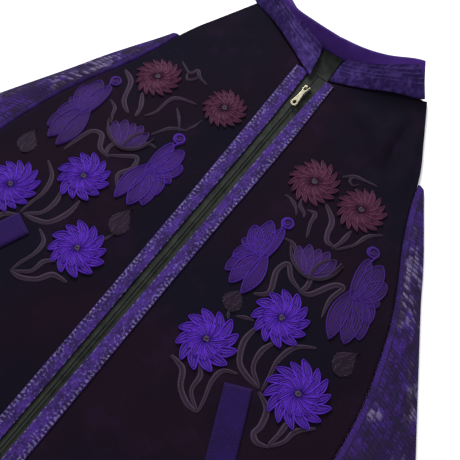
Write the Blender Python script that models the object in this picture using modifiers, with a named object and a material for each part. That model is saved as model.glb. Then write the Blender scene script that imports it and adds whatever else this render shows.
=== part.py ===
"""Embroidered zip jacket laid flat, front up.

The jacket lies on its back panel.  +Y runs to the collar, +X to the wearer's
left, +Z up.  Plan sizes are worked out in millimetres from the neck base at the
zip (x 0, y 0), then moved so that the origin is the centre of the underside.
"""
import math

import bmesh
import bpy
from mathutils import Vector

MM = 0.001

# Driving sizes, in millimetres.
CLOTH = 1.5          # wall of one layer of cloth
SEAM_GAP = 0.3       # gap left at every seam and between layers
BODY_LENGTH = 580.0  # neck base to hem
SLEEVE_CROWN = 6.5   # height of the flattened sleeve tube
PUFF = 2.6           # air under the middle of a front panel
COLLAR_PLY = 2.0     # the folded collar band
BAND_PLY = 1.0
WELT_PLY = 1.5
APPLIQUE = 2.6       # height of the padded satin stitch
TAB_LENGTH = 24.0

# Outline of the body: y, half width.
OUTLINE = [
    ("y", "half"),
    (42, 98), (20, 109), (0, 119), (-20, 129), (-38, 136), (-57, 141), (-75, 147),
    (-100, 157), (-125, 169), (-158, 183), (-195, 194), (-237, 203), (-290, 207),
    (-350, 211), (-430, 217), (-520, 224), (-580, 229),
]

# Sleeve laid down beside the body: a row for each section, inner edge and fold.
SLEEVE = [
    ("in_x", "in_y", "out_x", "out_y"),
    (136.6, -38, 144, -40),
    (141.5, -57, 154, -57),
    (147.5, -75, 166, -77),
    (157.5, -100, 181, -103),
    (169.5, -125, 196, -132),
    (183.5, -158, 216, -168),
    (194.5, -195, 240, -211),
    (203.5, -237, 266, -257),
    (207.5, -290, 297, -311),
    (211.5, -350, 332, -368),
    (218.0, -430, 368, -428),
    (254, -498, 389, -464),
    (292, -566, 409, -499),
]

# Zip: y, half width of the tape that shows, outer edge of each band.
ZIP = [
    ("y", "tape", "band_right", "band_left"),
    (6, 10.0, 24.0, 19.0),
    (-70, 7.4, 22.0, 21.0),
    (-200, 6.6, 19.5, 19.5),
    (-375, 5.2, 18.0, 20.0),
    (-580, 5.2, 18.0, 20.0),
]

# Collar band from its front end round to the middle of the back.
COLLAR = [
    ("base_x", "base_y", "base_z", "top_x", "top_y", "top_z"),
    (11.5, 5.2, 4.0, 12.0, 33, 12.5),
    (28, 11.5, 4.0, 30, 35.5, 18),
    (45, 19.5, 4.0, 46, 39.5, 23),
    (65, 30.5, 4.0, 62, 46, 27),
    (84, 39.5, 4.0, 74, 53, 29.5),
    (92, 45.5, 4.0, 78, 58.5, 31.5),
    (83, 46.5, 3.4, 68, 55, 32),
    (58, 40.0, 2.6, 47, 44.5, 31),
    (29, 34.0, 2.4, 24, 38, 30.5),
    (0, 32.0, 2.4, 0, 35.8, 30),
]

# Raised flowers: wearer's left is +X.  A pinwheel of petals.
FLOWERS = [
    ("name", "x", "y", "radius", "petals", "turn"),
    ("flower_maroon_left_inner", 62, -94, 22.5, 14, 0.1),
    ("flower_maroon_left_outer", 110, -92, 22, 14, 0.3),
    ("flower_violet_left_upper", 111, -213, 24.5, 12, 0.0),
    ("flower_violet_left_lower", 73, -264, 25.5, 12, 0.2),
    ("flower_violet_left_outer", 157, -255, 27, 14, 0.1),
    ("flower_maroon_right_inner", -48, -81, 20.5, 14, 0.2),
    ("flower_maroon_right_outer", -120, -91, 22.5, 14, 0.0),
    ("flower_violet_right_upper", -105, -213, 24.5, 12, 0.3),
    ("flower_violet_right_lower", -63, -268, 25.5, 12, 0.1),
    ("flower_violet_right_outer", -151, -258, 26, 14, 0.2),
]

# Moth-like birds: head and tail tip, width of the wing.
BIRDS = [
    ("name", "head_x", "head_y", "tail_x", "tail_y", "width", "side"),
    ("bird_left_inner", 67, -140, 64, -209, 40, -1),
    ("bird_left_outer", 139, -118, 157, -195, 38, 1),
    ("bird_right_inner", -62, -131, -62, -205, 40, 1),
    ("bird_right_outer", -149, -117, -154, -196, 37, -1),
]

# Buds and leaves: root, tip and width.
LEAVES = [
    ("name", "root_x", "root_y", "tip_x", "tip_y", "width"),
    ("bud_left", 107, -170, 101, -144, 38),
    ("bud_right", -99, -170, -105, -144, 38),
    ("leaf_left_inner", 73, -234, 70, -214, 18),
    ("leaf_left_outer", 172, -224, 175, -200, 19),
    ("leaf_right_inner", -47, -239, -52, -214, 19),
    ("leaf_right_outer", -165, -227, -175, -205, 19),
]

# Pocket welts: upper end, direction off the body axis, length, width.
WELT = {"x": 116.0, "y": -278.0, "angle": 23.0, "length": 150.0, "width": 23.0}


def smooth(value):
    value = max(0.0, min(1.0, value))
    return value * value * (3 - 2 * value)


def table(rows, key, column, at):
    """Smooth value of a column where the key column has the value at."""
    names = rows[0]
    k = names.index(key)
    c = names.index(column)
    data = sorted((row[k], row[c]) for row in rows[1:])
    if at <= data[0][0]:
        return data[0][1]
    if at >= data[-1][0]:
        return data[-1][1]
    steps = [(b[1] - a[1]) / (b[0] - a[0]) for a, b in zip(data, data[1:])]
    slopes = [steps[0]] + [(a + b) / 2 for a, b in zip(steps, steps[1:])] + [steps[-1]]
    i = max(n for n in range(len(data) - 1) if data[n][0] <= at)
    (k0, c0), (k1, c1) = data[i], data[i + 1]
    h = k1 - k0
    f = (at - k0) / h
    return (c0 * (1 + 2 * f) * (1 - f) ** 2 + slopes[i] * h * f * (1 - f) ** 2
            + c1 * f * f * (3 - 2 * f) + slopes[i + 1] * h * f * f * (f - 1))


def spline_row(rows, t):
    """Catmull-Rom point at t from 0 to 1 along the rows of a table."""
    data = rows[1:]
    place = max(0.0, min(1.0, t)) * (len(data) - 1)
    i = min(int(place), len(data) - 2)
    f = place - i
    p = [data[max(0, min(len(data) - 1, i + o))] for o in (-1, 0, 1, 2)]
    out = []
    for a, b, c, d in zip(*p):
        out.append(0.5 * (2 * b + (c - a) * f + (2 * a - 5 * b + 4 * c - d) * f * f
                          + (3 * b - a - 3 * c + d) * f ** 3))
    return out


def half_width(y):
    return table(OUTLINE, "y", "half", y)


def tape_half(y):
    return table(ZIP, "y", "tape", y)


def neckline(x):
    """Front neck seam, a shallow line from the zip to the side of the neck."""
    s = max(0.0, min(1.0, (abs(x) - 10) / 88))
    return 3 + 39 * s - 3.0 * math.sin(math.pi * s) * (1 - s)


def front_lift(x, y):
    """Air and soft folds under a front panel, nothing along its seams."""
    inner = tape_half(y)
    outer = half_width(y)
    s = (abs(x) - inner) / (outer - inner)
    top = neckline(x) if abs(x) < 98 else 42 - (abs(x) - 98) * 2.1
    edge = smooth(s / 0.35) * smooth((1 - s) / 0.3)
    edge *= smooth((top - y) / 45) * smooth((y + BODY_LENGTH) / 60)
    lift = PUFF * edge
    # One soft trough runs down the wearer's left shoulder, a faint one opposite.
    for side, depth in ((1, 1.7), (-1, 0.9)):
        if x * side > 0:
            across = (abs(x) - 104) - 0.34 * (-y)
            along = smooth((-y + 5) / 30) * smooth((95 + y) / 55)
            lift -= depth * edge * math.exp(-(across / 26) ** 2) * along
    return lift


def front_top(x, y):
    return CLOTH + SEAM_GAP + CLOTH + front_lift(x, y)


def material(name, colour, roughness, metallic=0.0):
    mat = bpy.data.materials.new(name)
    mat.use_nodes = True
    shader = mat.node_tree.nodes["Principled BSDF"]
    shader.inputs["Base Color"].default_value = (*colour, 1)
    shader.inputs["Roughness"].default_value = roughness
    shader.inputs["Metallic"].default_value = metallic
    return mat


def finish_mesh(name, mesh, mat):
    obj = bpy.data.objects.new(name, mesh)
    mesh.materials.append(mat)
    JACKET.objects.link(obj)
    return obj


def shell(name, place, across, along, wall, mat):
    """An open surface place(u, v), u and v from 0 to 1, given a wall below it."""
    bm = bmesh.new()
    bmesh.ops.create_grid(bm, x_segments=across, y_segments=along, size=0.5)
    for vert in bm.verts:
        x, y, z = place(vert.co.x + 0.5, vert.co.y + 0.5)
        vert.co = Vector((x, y, z)) * MM
    bmesh.ops.recalc_face_normals(bm, faces=bm.faces)
    up = sum((f.normal.z * f.calc_area() for f in bm.faces))
    if up < 0:
        bmesh.ops.reverse_faces(bm, faces=bm.faces)
    mesh = bpy.data.meshes.new(name)
    bm.to_mesh(mesh)
    bm.free()
    obj = finish_mesh(name, mesh, mat)
    solid = obj.modifiers.new("wall", "SOLIDIFY")
    solid.thickness = wall * MM
    solid.offset = -1
    return obj


def loft(name, rings, mat, inner=None):
    """Closed loft through rings of equal count.  inner is a blind hollow, whose
    last ring lies in the plane of the last outer ring, where it opens."""
    bm = bmesh.new()

    def add(ring_list):
        return [[bm.verts.new(Vector(p) * MM) for p in ring] for ring in ring_list]

    def skin(rows):
        for a, b in zip(rows, rows[1:]):
            n = len(a)
            for i in range(n):
                bm.faces.new((a[i], a[(i + 1) % n], b[(i + 1) % n], b[i]))

    outer = add(rings)
    skin(outer)
    bm.faces.new(outer[0])
    if inner is None:
        bm.faces.new(outer[-1])
    else:
        hollow = add(inner)
        skin(hollow)
        bm.faces.new(hollow[0])
        skin([outer[-1], hollow[-1]])
    bmesh.ops.recalc_face_normals(bm, faces=bm.faces)
    bmesh.ops.triangulate(bm, faces=[f for f in bm.faces if len(f.verts) > 4])
    mesh = bpy.data.meshes.new(name)
    bm.to_mesh(mesh)
    bm.free()
    return finish_mesh(name, mesh, mat)


def front_panel(name, side, mat):
    def place(u, v):
        y_in = -BODY_LENGTH + v * (BODY_LENGTH + 3)
        y_out = -BODY_LENGTH + v * (BODY_LENGTH + 42)
        x_in = tape_half(y_in) + SEAM_GAP
        x_out = half_width(y_out)
        x = x_in + (x_out - x_in) * u
        y = y_in + (y_out - y_in) * u
        y -= 3.0 * math.sin(math.pi * u) * (1 - u) * smooth((v - 0.8) / 0.2)
        return side * x, y, front_top(x, y)

    return shell(name, place, 12, 30, CLOTH, mat)


def back_panel(mat):
    def place(u, v):
        s = u * 2 - 1
        y_mid = -BODY_LENGTH + v * (BODY_LENGTH + 39)
        y_out = -BODY_LENGTH + v * (BODY_LENGTH + 42)
        y = y_mid + (y_out - y_mid) * abs(s)
        return s * half_width(y_out), y, CLOTH

    return shell("back", place, 8, 30, CLOTH, mat)


def sleeve(name, side, mat):
    rows = 26
    open_from = 15
    rings = []
    hollow = []
    for k in range(rows + 1):
        t = k / rows
        in_x, in_y, out_x, out_y = spline_row(SLEEVE, t)
        in_x = max(in_x, half_width(in_y) + 2 * SEAM_GAP)
        width = math.hypot(out_x - in_x, out_y - in_y)
        crown = 4.2 + (SLEEVE_CROWN - 4.2) * smooth((width - 10) / 22)
        seam = CLOTH * 2 + SEAM_GAP

        def point(s, z):
            return (side * (in_x + (out_x - in_x) * s), in_y + (out_y - in_y) * s, z)

        e = 2.0 / width
        ring = [point(s, 0.0) for s in (e, 0.25, 0.5, 0.75, 1 - e)]
        ring += [point(1, 1.3), point(1, 2.6)]
        for s in (1 - e, 0.86, 0.7, 0.55, 0.4, 0.27, 0.14, e):
            ring.append(point(s, seam + (crown - seam) * math.sin(math.pi * s) ** 0.7))
        ring += [point(0, 2.4), point(0, 1.1)]
        rings.append(ring)
        if k >= open_from:
            e = 3.8 / width
            void = [point(s, CLOTH) for s in (e, 0.25, 0.5, 0.75, 1 - e)]
            void += [point(1 - e * 0.8, 1.8), point(1 - e * 0.8, 2.0)]
            for s in (1 - e, 0.86, 0.7, 0.55, 0.4, 0.27, 0.14, e):
                top = seam + (crown - seam) * math.sin(math.pi * s) ** 0.7
                void.append(point(s, max(top - CLOTH, CLOTH + 0.5)))
            void += [point(e * 0.8, 2.0), point(e * 0.8, 1.8)]
            hollow.append(void)
    return loft(name, rings, mat, hollow)


def collar(mat):
    ends = 0.07

    def place(u, v):
        half = abs(u * 2 - 1)
        side = 1 if u > 0.5 else -1
        t = 1 - half
        # The front corners are rounded: the upper rows start further in.
        corner = max(0.0, (v - 0.6) / 0.4)
        start = ends * (1 - math.sqrt(max(0.0, 1 - corner * corner)))
        t = start + (1 - start) * t
        bx, by, bz, tx, ty, tz = spline_row(COLLAR, t)
        bulge = 1.2 * math.sin(math.pi * v)
        return (side * (bx + (tx - bx) * v), by + (ty - by) * v - bulge,
                bz + (tz - bz) * v + bulge * 0.5)

    return shell("collar", place, 44, 4, COLLAR_PLY, mat)


def strip(name, x0, x1, y0, y1, z_of, wall, mat, along=40, across=2):
    """A ribbon between two edges x0(y) and x1(y), its top at z_of(x, y)."""
    def place(u, v):
        y = y0 + (y1 - y0) * v
        x = x0(y) + (x1(y) - x0(y)) * u
        return x, y, z_of(x, y)

    return shell(name, place, across, along, wall, mat)


def welt(name, side, mat):
    a = math.radians(WELT["angle"])
    down = (math.sin(a), -math.cos(a))
    over = (math.cos(a), math.sin(a))

    def place(u, v):
        s = (u - 0.5) * WELT["width"]
        d = (1 - v) * WELT["length"]
        x = WELT["x"] + down[0] * d + over[0] * s
        y = WELT["y"] + down[1] * d + over[1] * s
        z = front_top(x, y) + SEAM_GAP + WELT_PLY
        return side * x, y, z

    return shell(name, place, 3, 14, WELT_PLY, mat)


def flower(name, x, y, radius, petals, turn, mat):
    """One raised pinwheel: petals curve, their tips are round and notched."""
    per = 3
    count = petals * per
    wave = (0.80, 1.0, 0.95)
    tall = (0.55, 1.0, 0.85)
    bm = bmesh.new()

    def vert(r, angle, z):
        px = x + r * math.cos(angle)
        py = y + r * math.sin(angle)
        return bm.verts.new(Vector((px, py, front_top(px, py) + SEAM_GAP + z)) * MM)

    rings = []
    for r_part, height, swirl in ((1.0, 0.35, 0.20), (0.80, 1.0, 0.12), (0.42, 0.85, 0.0)):
        ring = []
        for i in range(count):
            k = i % per
            angle = turn + (i / count) * 2 * math.pi - swirl
            reach = radius * r_part * (wave[k] if r_part > 0.9 else 1)
            ring.append(vert(reach, angle, APPLIQUE * height * tall[k]))
        rings.append(ring)
    base = []
    for i in range(count):
        k = i % per
        angle = turn + (i / count) * 2 * math.pi - 0.20
        base.append(vert(radius * wave[k], angle, 0.0))
    hub = vert(0.0, 0.0, APPLIQUE * 1.05)
    root = vert(0.0, 0.0, 0.0)
    for a, b in ((base, rings[0]), (rings[0], rings[1]), (rings[1], rings[2])):
        for i in range(count):
            j = (i + 1) % count
            bm.faces.new((a[i], a[j], b[j], b[i]))
    for i in range(count):
        j = (i + 1) % count
        bm.faces.new((rings[2][i], rings[2][j], hub))
        bm.faces.new((base[j], base[i], root))
    bmesh.ops.recalc_face_normals(bm, faces=bm.faces)
    mesh = bpy.data.meshes.new(name)
    bm.to_mesh(mesh)
    bm.free()
    return finish_mesh(name, mesh, mat)


def padded_shape(name, edge, mat, height):
    """A flat motif with a raised, rounded top: its edge as points in plan."""
    cx = sum(p[0] for p in edge) / len(edge)
    cy = sum(p[1] for p in edge) / len(edge)
    bm = bmesh.new()

    def ring(scale, z):
        out = []
        for px, py in edge:
            qx = cx + (px - cx) * scale
            qy = cy + (py - cy) * scale
            top = front_top(qx, qy) + SEAM_GAP + z
            out.append(bm.verts.new(Vector((qx, qy, top)) * MM))
        return out

    def middle(z):
        top = front_top(cx, cy) + SEAM_GAP + z
        return bm.verts.new(Vector((cx, cy, top)) * MM)

    rows = [ring(0.35, 0.0), ring(0.7, 0.0), ring(1.0, 0.0), ring(1.0, height * 0.4),
            ring(0.84, height), ring(0.45, height)]
    under = middle(0.0)
    over = middle(height)
    count = len(edge)
    for i in range(count):
        j = (i + 1) % count
        for a, b in zip(rows, rows[1:]):
            bm.faces.new((a[i], a[j], b[j], b[i]))
        bm.faces.new((rows[0][j], rows[0][i], under))
        bm.faces.new((rows[-1][i], rows[-1][j], over))
    bmesh.ops.recalc_face_normals(bm, faces=bm.faces)
    mesh = bpy.data.meshes.new(name)
    bm.to_mesh(mesh)
    bm.free()
    return finish_mesh(name, mesh, mat)


def bird_edge(head_x, head_y, tail_x, tail_y, width, side):
    """Round head, a scalloped wing pair to one side and a forked tail."""
    length = math.hypot(tail_x - head_x, tail_y - head_y)
    ux, uy = (tail_x - head_x) / length, (tail_y - head_y) / length
    vx, vy = -uy * side, ux * side
    # Along the body from 0 at the head to 1 at the tail: near and far edge.
    shape = [
        (-0.07, 0.00, 0.0), (-0.04, 0.10, -0.10), (0.04, 0.13, -0.12), (0.08, 0.24, -0.10),
        (0.12, 0.42, -0.16), (0.22, 0.52, -0.20), (0.33, 0.57, -0.22), (0.43, 0.50, -0.20),
        (0.50, 0.56, -0.16), (0.60, 0.54, -0.18), (0.70, 0.50, -0.26), (0.80, 0.50, -0.32),
        (0.90, 0.42, -0.34), (0.98, 0.26, -0.30), (1.02, 0.05, -0.18),
    ]
    near = [(a, b) for a, b, c in shape]
    far = [(a, c) for a, b, c in reversed(shape[1:-1])]
    return [(head_x + ux * length * a + vx * width * b,
             head_y + uy * length * a + vy * width * b) for a, b in near + far]


def leaf_edge(root_x, root_y, tip_x, tip_y, width):
    length = math.hypot(tip_x - root_x, tip_y - root_y)
    ux, uy = (tip_x - root_x) / length, (tip_y - root_y) / length
    edge = []
    count = 8
    for side in (1, -1):
        for i in range(count):
            f = i / count if side > 0 else 1 - i / count
            w = 0.5 * width * math.sin(math.pi * f ** 0.8) * side
            edge.append((root_x + ux * length * f - uy * w, root_y + uy * length * f + ux * w))
    return edge


def box(name, size, centre, mat, bevel=0.0):
    bpy.ops.mesh.primitive_cube_add(size=1)
    obj = bpy.context.object
    obj.name = name
    obj.data.name = name
    for vert in obj.data.vertices:
        for axis in range(3):
            vert.co[axis] = vert.co[axis] * size[axis] * MM
    obj.location = Vector(centre) * MM
    for other in list(obj.users_collection):
        other.objects.unlink(obj)
    JACKET.objects.link(obj)
    obj.data.materials.append(mat)
    if bevel:
        edge = obj.modifiers.new("edge", "BEVEL")
        edge.width = bevel * MM
        edge.segments = 2
    return obj


def pull_tab(mat, pivot):
    """Flat tab with a hole at its free end, hinged on the slider's bridge."""
    half = 3.4
    outline = []
    for i in range(9):
        a = math.pi * i / 8
        outline.append((half * math.cos(a) * 0.62, half * math.sin(a) * 0.5 - 1.3))
    for i in range(9):
        a = math.pi + math.pi * i / 8
        outline.append((half * math.cos(a), -TAB_LENGTH + half + half * math.sin(a)))
    curve = bpy.data.curves.new("pull_tab", "CURVE")
    curve.dimensions = "2D"
    curve.fill_mode = "BOTH"
    curve.extrude = 0.6 * MM
    hole = [(1.5 * math.cos(2 * math.pi * i / 10), -TAB_LENGTH + 4.2 + 1.9 * math.sin(2 * math.pi * i / 10))
            for i in range(10)]
    for points in (outline, hole):
        line = curve.splines.new("POLY")
        line.points.add(len(points) - 1)
        for dot, (px, py) in zip(line.points, points):
            dot.co = (px * MM, py * MM, 0, 1)
        line.use_cyclic_u = True
    obj = bpy.data.objects.new("curve_tab", curve)
    JACKET.objects.link(obj)
    mesh = bpy.data.meshes.new_from_object(obj.evaluated_get(bpy.context.evaluated_depsgraph_get()))
    bpy.data.objects.remove(obj)
    bm = bmesh.new()
    bm.from_mesh(mesh)
    bmesh.ops.remove_doubles(bm, verts=bm.verts, dist=1e-6)
    bmesh.ops.recalc_face_normals(bm, faces=bm.faces)
    bm.to_mesh(mesh)
    bm.free()
    mesh.name = "pull_tab"
    tab = finish_mesh("pull_tab", mesh, mat)
    tab.location = Vector(pivot) * MM
    return tab


for old in list(bpy.data.objects):
    bpy.data.objects.remove(old)
JACKET = bpy.data.collections.new("embroidered_jacket")
bpy.context.scene.collection.children.link(JACKET)

black = material("black_cloth", (0.010, 0.008, 0.014), 0.9)
ikat = material("ikat_cloth", (0.035, 0.016, 0.12), 0.88)
violet = material("violet_cloth", (0.055, 0.025, 0.22), 0.85)
tape_cloth = material("zip_tape", (0.013, 0.016, 0.014), 0.8)
stitch_violet = material("violet_thread", (0.09, 0.03, 0.45), 0.6)
stitch_maroon = material("maroon_thread", (0.07, 0.018, 0.04), 0.65)
stitch_indigo = material("indigo_thread", (0.045, 0.02, 0.24), 0.6)
stitch_mauve = material("mauve_thread", (0.055, 0.035, 0.06), 0.7)
metal = material("pale_brass", (0.78, 0.68, 0.42), 0.35, 1.0)

back_panel(black)
front_panel("front_left", 1, black)
front_panel("front_right", -1, black)
sleeve("sleeve_left", 1, ikat)
sleeve("sleeve_right", -1, ikat)
collar(violet)

# The zip: two tapes side by side, the closed chain on them up to the slider.
flat_top = 2 * CLOTH + SEAM_GAP
tape_top = CLOTH + SEAM_GAP + 1.0
for name, side in (("zip_tape_left", 1), ("zip_tape_right", -1)):
    strip(name, lambda y: side * 0.3, lambda y: side * (tape_half(y) - 0.05),
          -BODY_LENGTH, 3.4, lambda x, y: tape_top, 1.0, tape_cloth, 12, 1)
strip("zip_chain", lambda y: -2.4, lambda y: 2.4, -BODY_LENGTH + 14, -24.0,
      lambda x, y: tape_top + SEAM_GAP + 1.2, 1.2, tape_cloth, 12, 1)
# The guard carries the zip's upper end between the collar's two ends.
strip("zip_guard", lambda y: -10.6, lambda y: 10.6, 3.9, 29.0,
      lambda x, y: tape_top + 8.2 * smooth((y - 1) / 38), 1.0, tape_cloth, 8, 2)

bridge = tape_top + SEAM_GAP + 4.6
slider_y = -18.0
box("slider", (8.6, 11.0, 3.4), (0, slider_y, tape_top + SEAM_GAP + 1.7), metal, 0.8)
pull_tab(metal, (0, slider_y + 2.0, bridge - 0.1))
box("zip_box", (7.0, 9.0, 3.2), (0, -BODY_LENGTH + 8, tape_top + SEAM_GAP + 1.6), metal, 0.6)

for name, side, column in (("zip_band_left", 1, "band_left"), ("zip_band_right", -1, "band_right")):
    strip(name, lambda y: side * (tape_half(y) + 0.6),
          lambda y: side * table(ZIP, "y", column, y), -BODY_LENGTH + 0.5, 1.5,
          lambda x, y: front_top(x, y) + SEAM_GAP + BAND_PLY, BAND_PLY, violet, 40, 2)

welt("pocket_welt_left", 1, violet)
welt("pocket_welt_right", -1, violet)

for name, x, y, radius, petals, turn in FLOWERS[1:]:
    flower(name, x, y, radius, petals, turn, stitch_maroon if "maroon" in name else stitch_violet)
for name, hx, hy, tx, ty, width, side in BIRDS[1:]:
    padded_shape(name, bird_edge(hx, hy, tx, ty, width, side), stitch_indigo, 1.8)
for name, rx, ry, tx, ty, width in LEAVES[1:]:
    padded_shape(name, leaf_edge(rx, ry, tx, ty, width),
                 stitch_indigo if "bud" in name else stitch_mauve, 1.5)

# Origin: the centre of the underside.
graph = bpy.context.evaluated_depsgraph_get()
low = Vector((1e9, 1e9, 1e9))
high = -low
for obj in JACKET.objects:
    body = obj.evaluated_get(graph)
    for vert in body.data.vertices:
        point = body.matrix_world @ vert.co
        for axis in range(3):
            low[axis] = min(low[axis], point[axis])
            high[axis] = max(high[axis], point[axis])
shift = Vector((-(low.x + high.x) / 2, -(low.y + high.y) / 2, -low.z))
for obj in JACKET.objects:
    obj.location += shift
print("size", [round(v, 4) for v in high - low], "shift", [round(v, 5) for v in shift])
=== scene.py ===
"""Looks of the embroidered zip jacket, laid flat with its front up.

Plan positions are in millimetres from the neck base at the zip, +x to the
wearer's left and +y to the collar.  at() turns them into metres in the frame.
The first row of a table names its columns.
"""
import math

import bmesh
import bpy
import numpy as np
from mathutils import Matrix, Vector


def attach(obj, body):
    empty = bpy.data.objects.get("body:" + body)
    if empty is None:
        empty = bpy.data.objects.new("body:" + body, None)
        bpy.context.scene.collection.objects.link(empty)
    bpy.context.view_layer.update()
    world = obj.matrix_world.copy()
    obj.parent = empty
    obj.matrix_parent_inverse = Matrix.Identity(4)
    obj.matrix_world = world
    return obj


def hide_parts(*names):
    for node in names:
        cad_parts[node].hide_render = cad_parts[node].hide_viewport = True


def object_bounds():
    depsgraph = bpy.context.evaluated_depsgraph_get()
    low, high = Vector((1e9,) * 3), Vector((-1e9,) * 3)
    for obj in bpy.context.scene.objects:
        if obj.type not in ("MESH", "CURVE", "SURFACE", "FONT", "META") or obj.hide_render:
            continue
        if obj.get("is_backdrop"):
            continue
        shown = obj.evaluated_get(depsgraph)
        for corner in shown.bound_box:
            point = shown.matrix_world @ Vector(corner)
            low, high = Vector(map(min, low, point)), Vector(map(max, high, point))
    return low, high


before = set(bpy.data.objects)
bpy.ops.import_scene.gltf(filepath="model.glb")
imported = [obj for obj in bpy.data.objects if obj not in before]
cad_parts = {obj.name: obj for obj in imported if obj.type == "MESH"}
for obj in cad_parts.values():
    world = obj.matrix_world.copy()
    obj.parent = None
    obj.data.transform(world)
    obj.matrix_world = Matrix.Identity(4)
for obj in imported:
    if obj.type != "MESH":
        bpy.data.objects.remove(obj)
cad_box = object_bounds()

NECK_Y = 260.64
CLOTH = 1.5
STRIP = 1.0  # Thickness of bands, welts and zip tape.
SEAM_GAP = 0.3
BODY_LENGTH = 580.0
FRONT_NECK_Y = 3
BACK_NECK_Y = 39
SHOULDER_X = 98
SHOULDER_Y = 42
SLEEVE_EDGE = 4.2
SLEEVE_CROWN = 6.5
PUFF = 2.6
APPLIQUE = 2.6

OUTLINE = [
    ("y", "half"),
    (42, 98), (20, 109), (0, 119), (-20, 129), (-38, 136), (-57, 141), (-75, 147),
    (-100, 157), (-125, 169), (-158, 183), (-195, 194), (-237, 203), (-290, 207),
    (-350, 211), (-430, 217), (-520, 224), (-580, 229),
]
SLEEVE = [
    ("in_x", "in_y", "out_x", "out_y"),
    (136.6, -38, 144, -40),
    (141.5, -57, 154, -57),
    (147.5, -75, 166, -77),
    (157.5, -100, 181, -103),
    (169.5, -125, 196, -132),
    (183.5, -158, 216, -168),
    (194.5, -195, 240, -211),
    (203.5, -237, 266, -257),
    (207.5, -290, 297, -311),
    (211.5, -350, 332, -368),
    (218.0, -430, 368, -428),
    (254, -498, 389, -464),
    (292, -566, 409, -499),
]
ZIP = [
    ("y", "tape", "band_right", "band_left"),
    (6, 10.0, 24.0, 19.0),
    (-70, 7.4, 22.0, 21.0),
    (-200, 6.6, 19.5, 19.5),
    (-375, 5.2, 18.0, 20.0),
    (-580, 5.2, 18.0, 20.0),
]
COLLAR = [
    ("base_x", "base_y", "base_z", "top_x", "top_y", "top_z"),
    (11.5, 5.2, 4.0, 12.0, 33, 12.5),
    (28, 11.5, 4.0, 30, 35.5, 18),
    (45, 19.5, 4.0, 46, 39.5, 23),
    (65, 30.5, 4.0, 62, 46, 27),
    (84, 39.5, 4.0, 74, 53, 29.5),
    (92, 45.5, 4.0, 78, 58.5, 31.5),
    (83, 46.5, 3.4, 68, 55, 32),
    (58, 40.0, 2.6, 47, 44.5, 31),
    (29, 34.0, 2.4, 24, 38, 30.5),
    (0, 32.0, 2.4, 0, 35.8, 30),
]

# Soft troughs (negative) and ridges laid in the cloth: ends, width, depth.
FOLDS = [
    ("x0", "y0", "x1", "y1", "width", "depth"),
    (34, -9, 64, -27, 5.5, -3.4), (64, -27, 98, -54, 7, -3.0), (56, -2, 92, -26, 8, 2.6),
    (24, -26, 80, -66, 10, 2.6), (99, 8, 109, -42, 6, -3.2), (86, 6, 94, -40, 8, 2.0),
    (116, 12, 126, -54, 8, 1.8),
    (96, 20, 120, -30, 9, 0.9), (150, -110, 108, -70, 12, -0.6), (196, -230, 150, -300, 14, -0.9),
    (190, -260, 120, -352, 16, 0.8), (40, -330, 150, -430, 18, -0.8), (30, -420, 200, -500, 20, 0.9),
    (60, -560, 90, -440, 16, -0.8), (160, -570, 175, -450, 18, 1.0),
    (-70, 20, -110, -10, 9, -0.7), (-96, 18, -124, -34, 10, 0.8), (-60, 8, -92, -48, 11, -0.6),
    (-192, -236, -140, -300, 14, -0.8), (-36, -350, -160, -420, 18, 0.8),
    (-30, -440, -196, -490, 20, -0.8), (-80, -566, -104, -446, 16, 0.9), (-170, -560, -180, -440, 18, -0.9),
]

FLOWERS = [
    ("name", "x", "y", "radius", "petals", "turn"),
    ("flower_maroon_left_inner", 62, -94, 22.5, 16, 0.1),
    ("flower_maroon_left_outer", 110, -92, 22, 16, 0.3),
    ("flower_violet_left_upper", 111, -213, 24.5, 12, 0.0),
    ("flower_violet_left_lower", 73, -264, 25.5, 12, 0.2),
    ("flower_violet_left_outer", 157, -255, 27, 14, 0.1),
    ("flower_maroon_right_inner", -48, -81, 20.5, 16, 0.2),
    ("flower_maroon_right_outer", -120, -91, 22.5, 16, 0.0),
    ("flower_violet_right_upper", -105, -213, 24.5, 12, 0.3),
    ("flower_violet_right_lower", -63, -268, 25.5, 12, 0.1),
    ("flower_violet_right_outer", -151, -258, 26, 14, 0.2),
]
BIRDS = [
    ("name", "head_x", "head_y", "tail_x", "tail_y", "width", "side"),
    ("bird_left_inner", 67, -140, 64, -209, 40, -1),
    ("bird_left_outer", 139, -118, 157, -195, 38, 1),
    ("bird_right_inner", -62, -131, -62, -205, 40, 1),
    ("bird_right_outer", -149, -117, -154, -196, 37, -1),
]
# Feathers of a bird: root and tip in its length and width, breadth, bend, roundness.
FEATHERS = [
    ("root_a", "root_b", "tip_a", "tip_b", "breadth", "bend", "point"),
    (0.50, 0.02, 0.98, 0.40, 0.20, 0.05, 0.60),
    (0.50, 0.04, 0.78, 0.48, 0.20, 0.06, 0.55),
    (0.52, 0.02, 0.54, 0.56, 0.17, 0.04, 0.55),
    (0.58, 0.02, 0.29, 0.55, 0.22, -0.03, 0.50),
    (0.50, 0.00, 1.08, 0.14, 0.23, 0.03, 0.70),
    (0.60, 0.02, 0.11, 0.32, 0.24, -0.02, 0.60),
    (0.62, -0.05, 0.10, -0.01, 0.18, -0.02, 0.50),
    (0.47, -0.06, 1.10, -0.20, 0.21, -0.05, 0.75),
]
LEAVES = [
    ("name", "root_x", "root_y", "tip_x", "tip_y", "width"),
    ("leaf_left_inner", 73, -234, 70, -214, 18),
    ("leaf_left_outer", 172, -224, 175, -200, 19),
    ("leaf_right_inner", -47, -239, -52, -214, 19),
    ("leaf_right_outer", -165, -227, -175, -205, 19),
]
BUDS = [
    ("name", "root_x", "root_y", "tip_x", "tip_y", "width"),
    ("bud_left", 107, -170, 101, -144, 38),
    ("bud_right", -99, -170, -105, -144, 38),
]
WELT = {"x": 116.0, "y": -278.0, "angle": 23.0, "length": 150.0, "width": 23.0}

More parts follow.
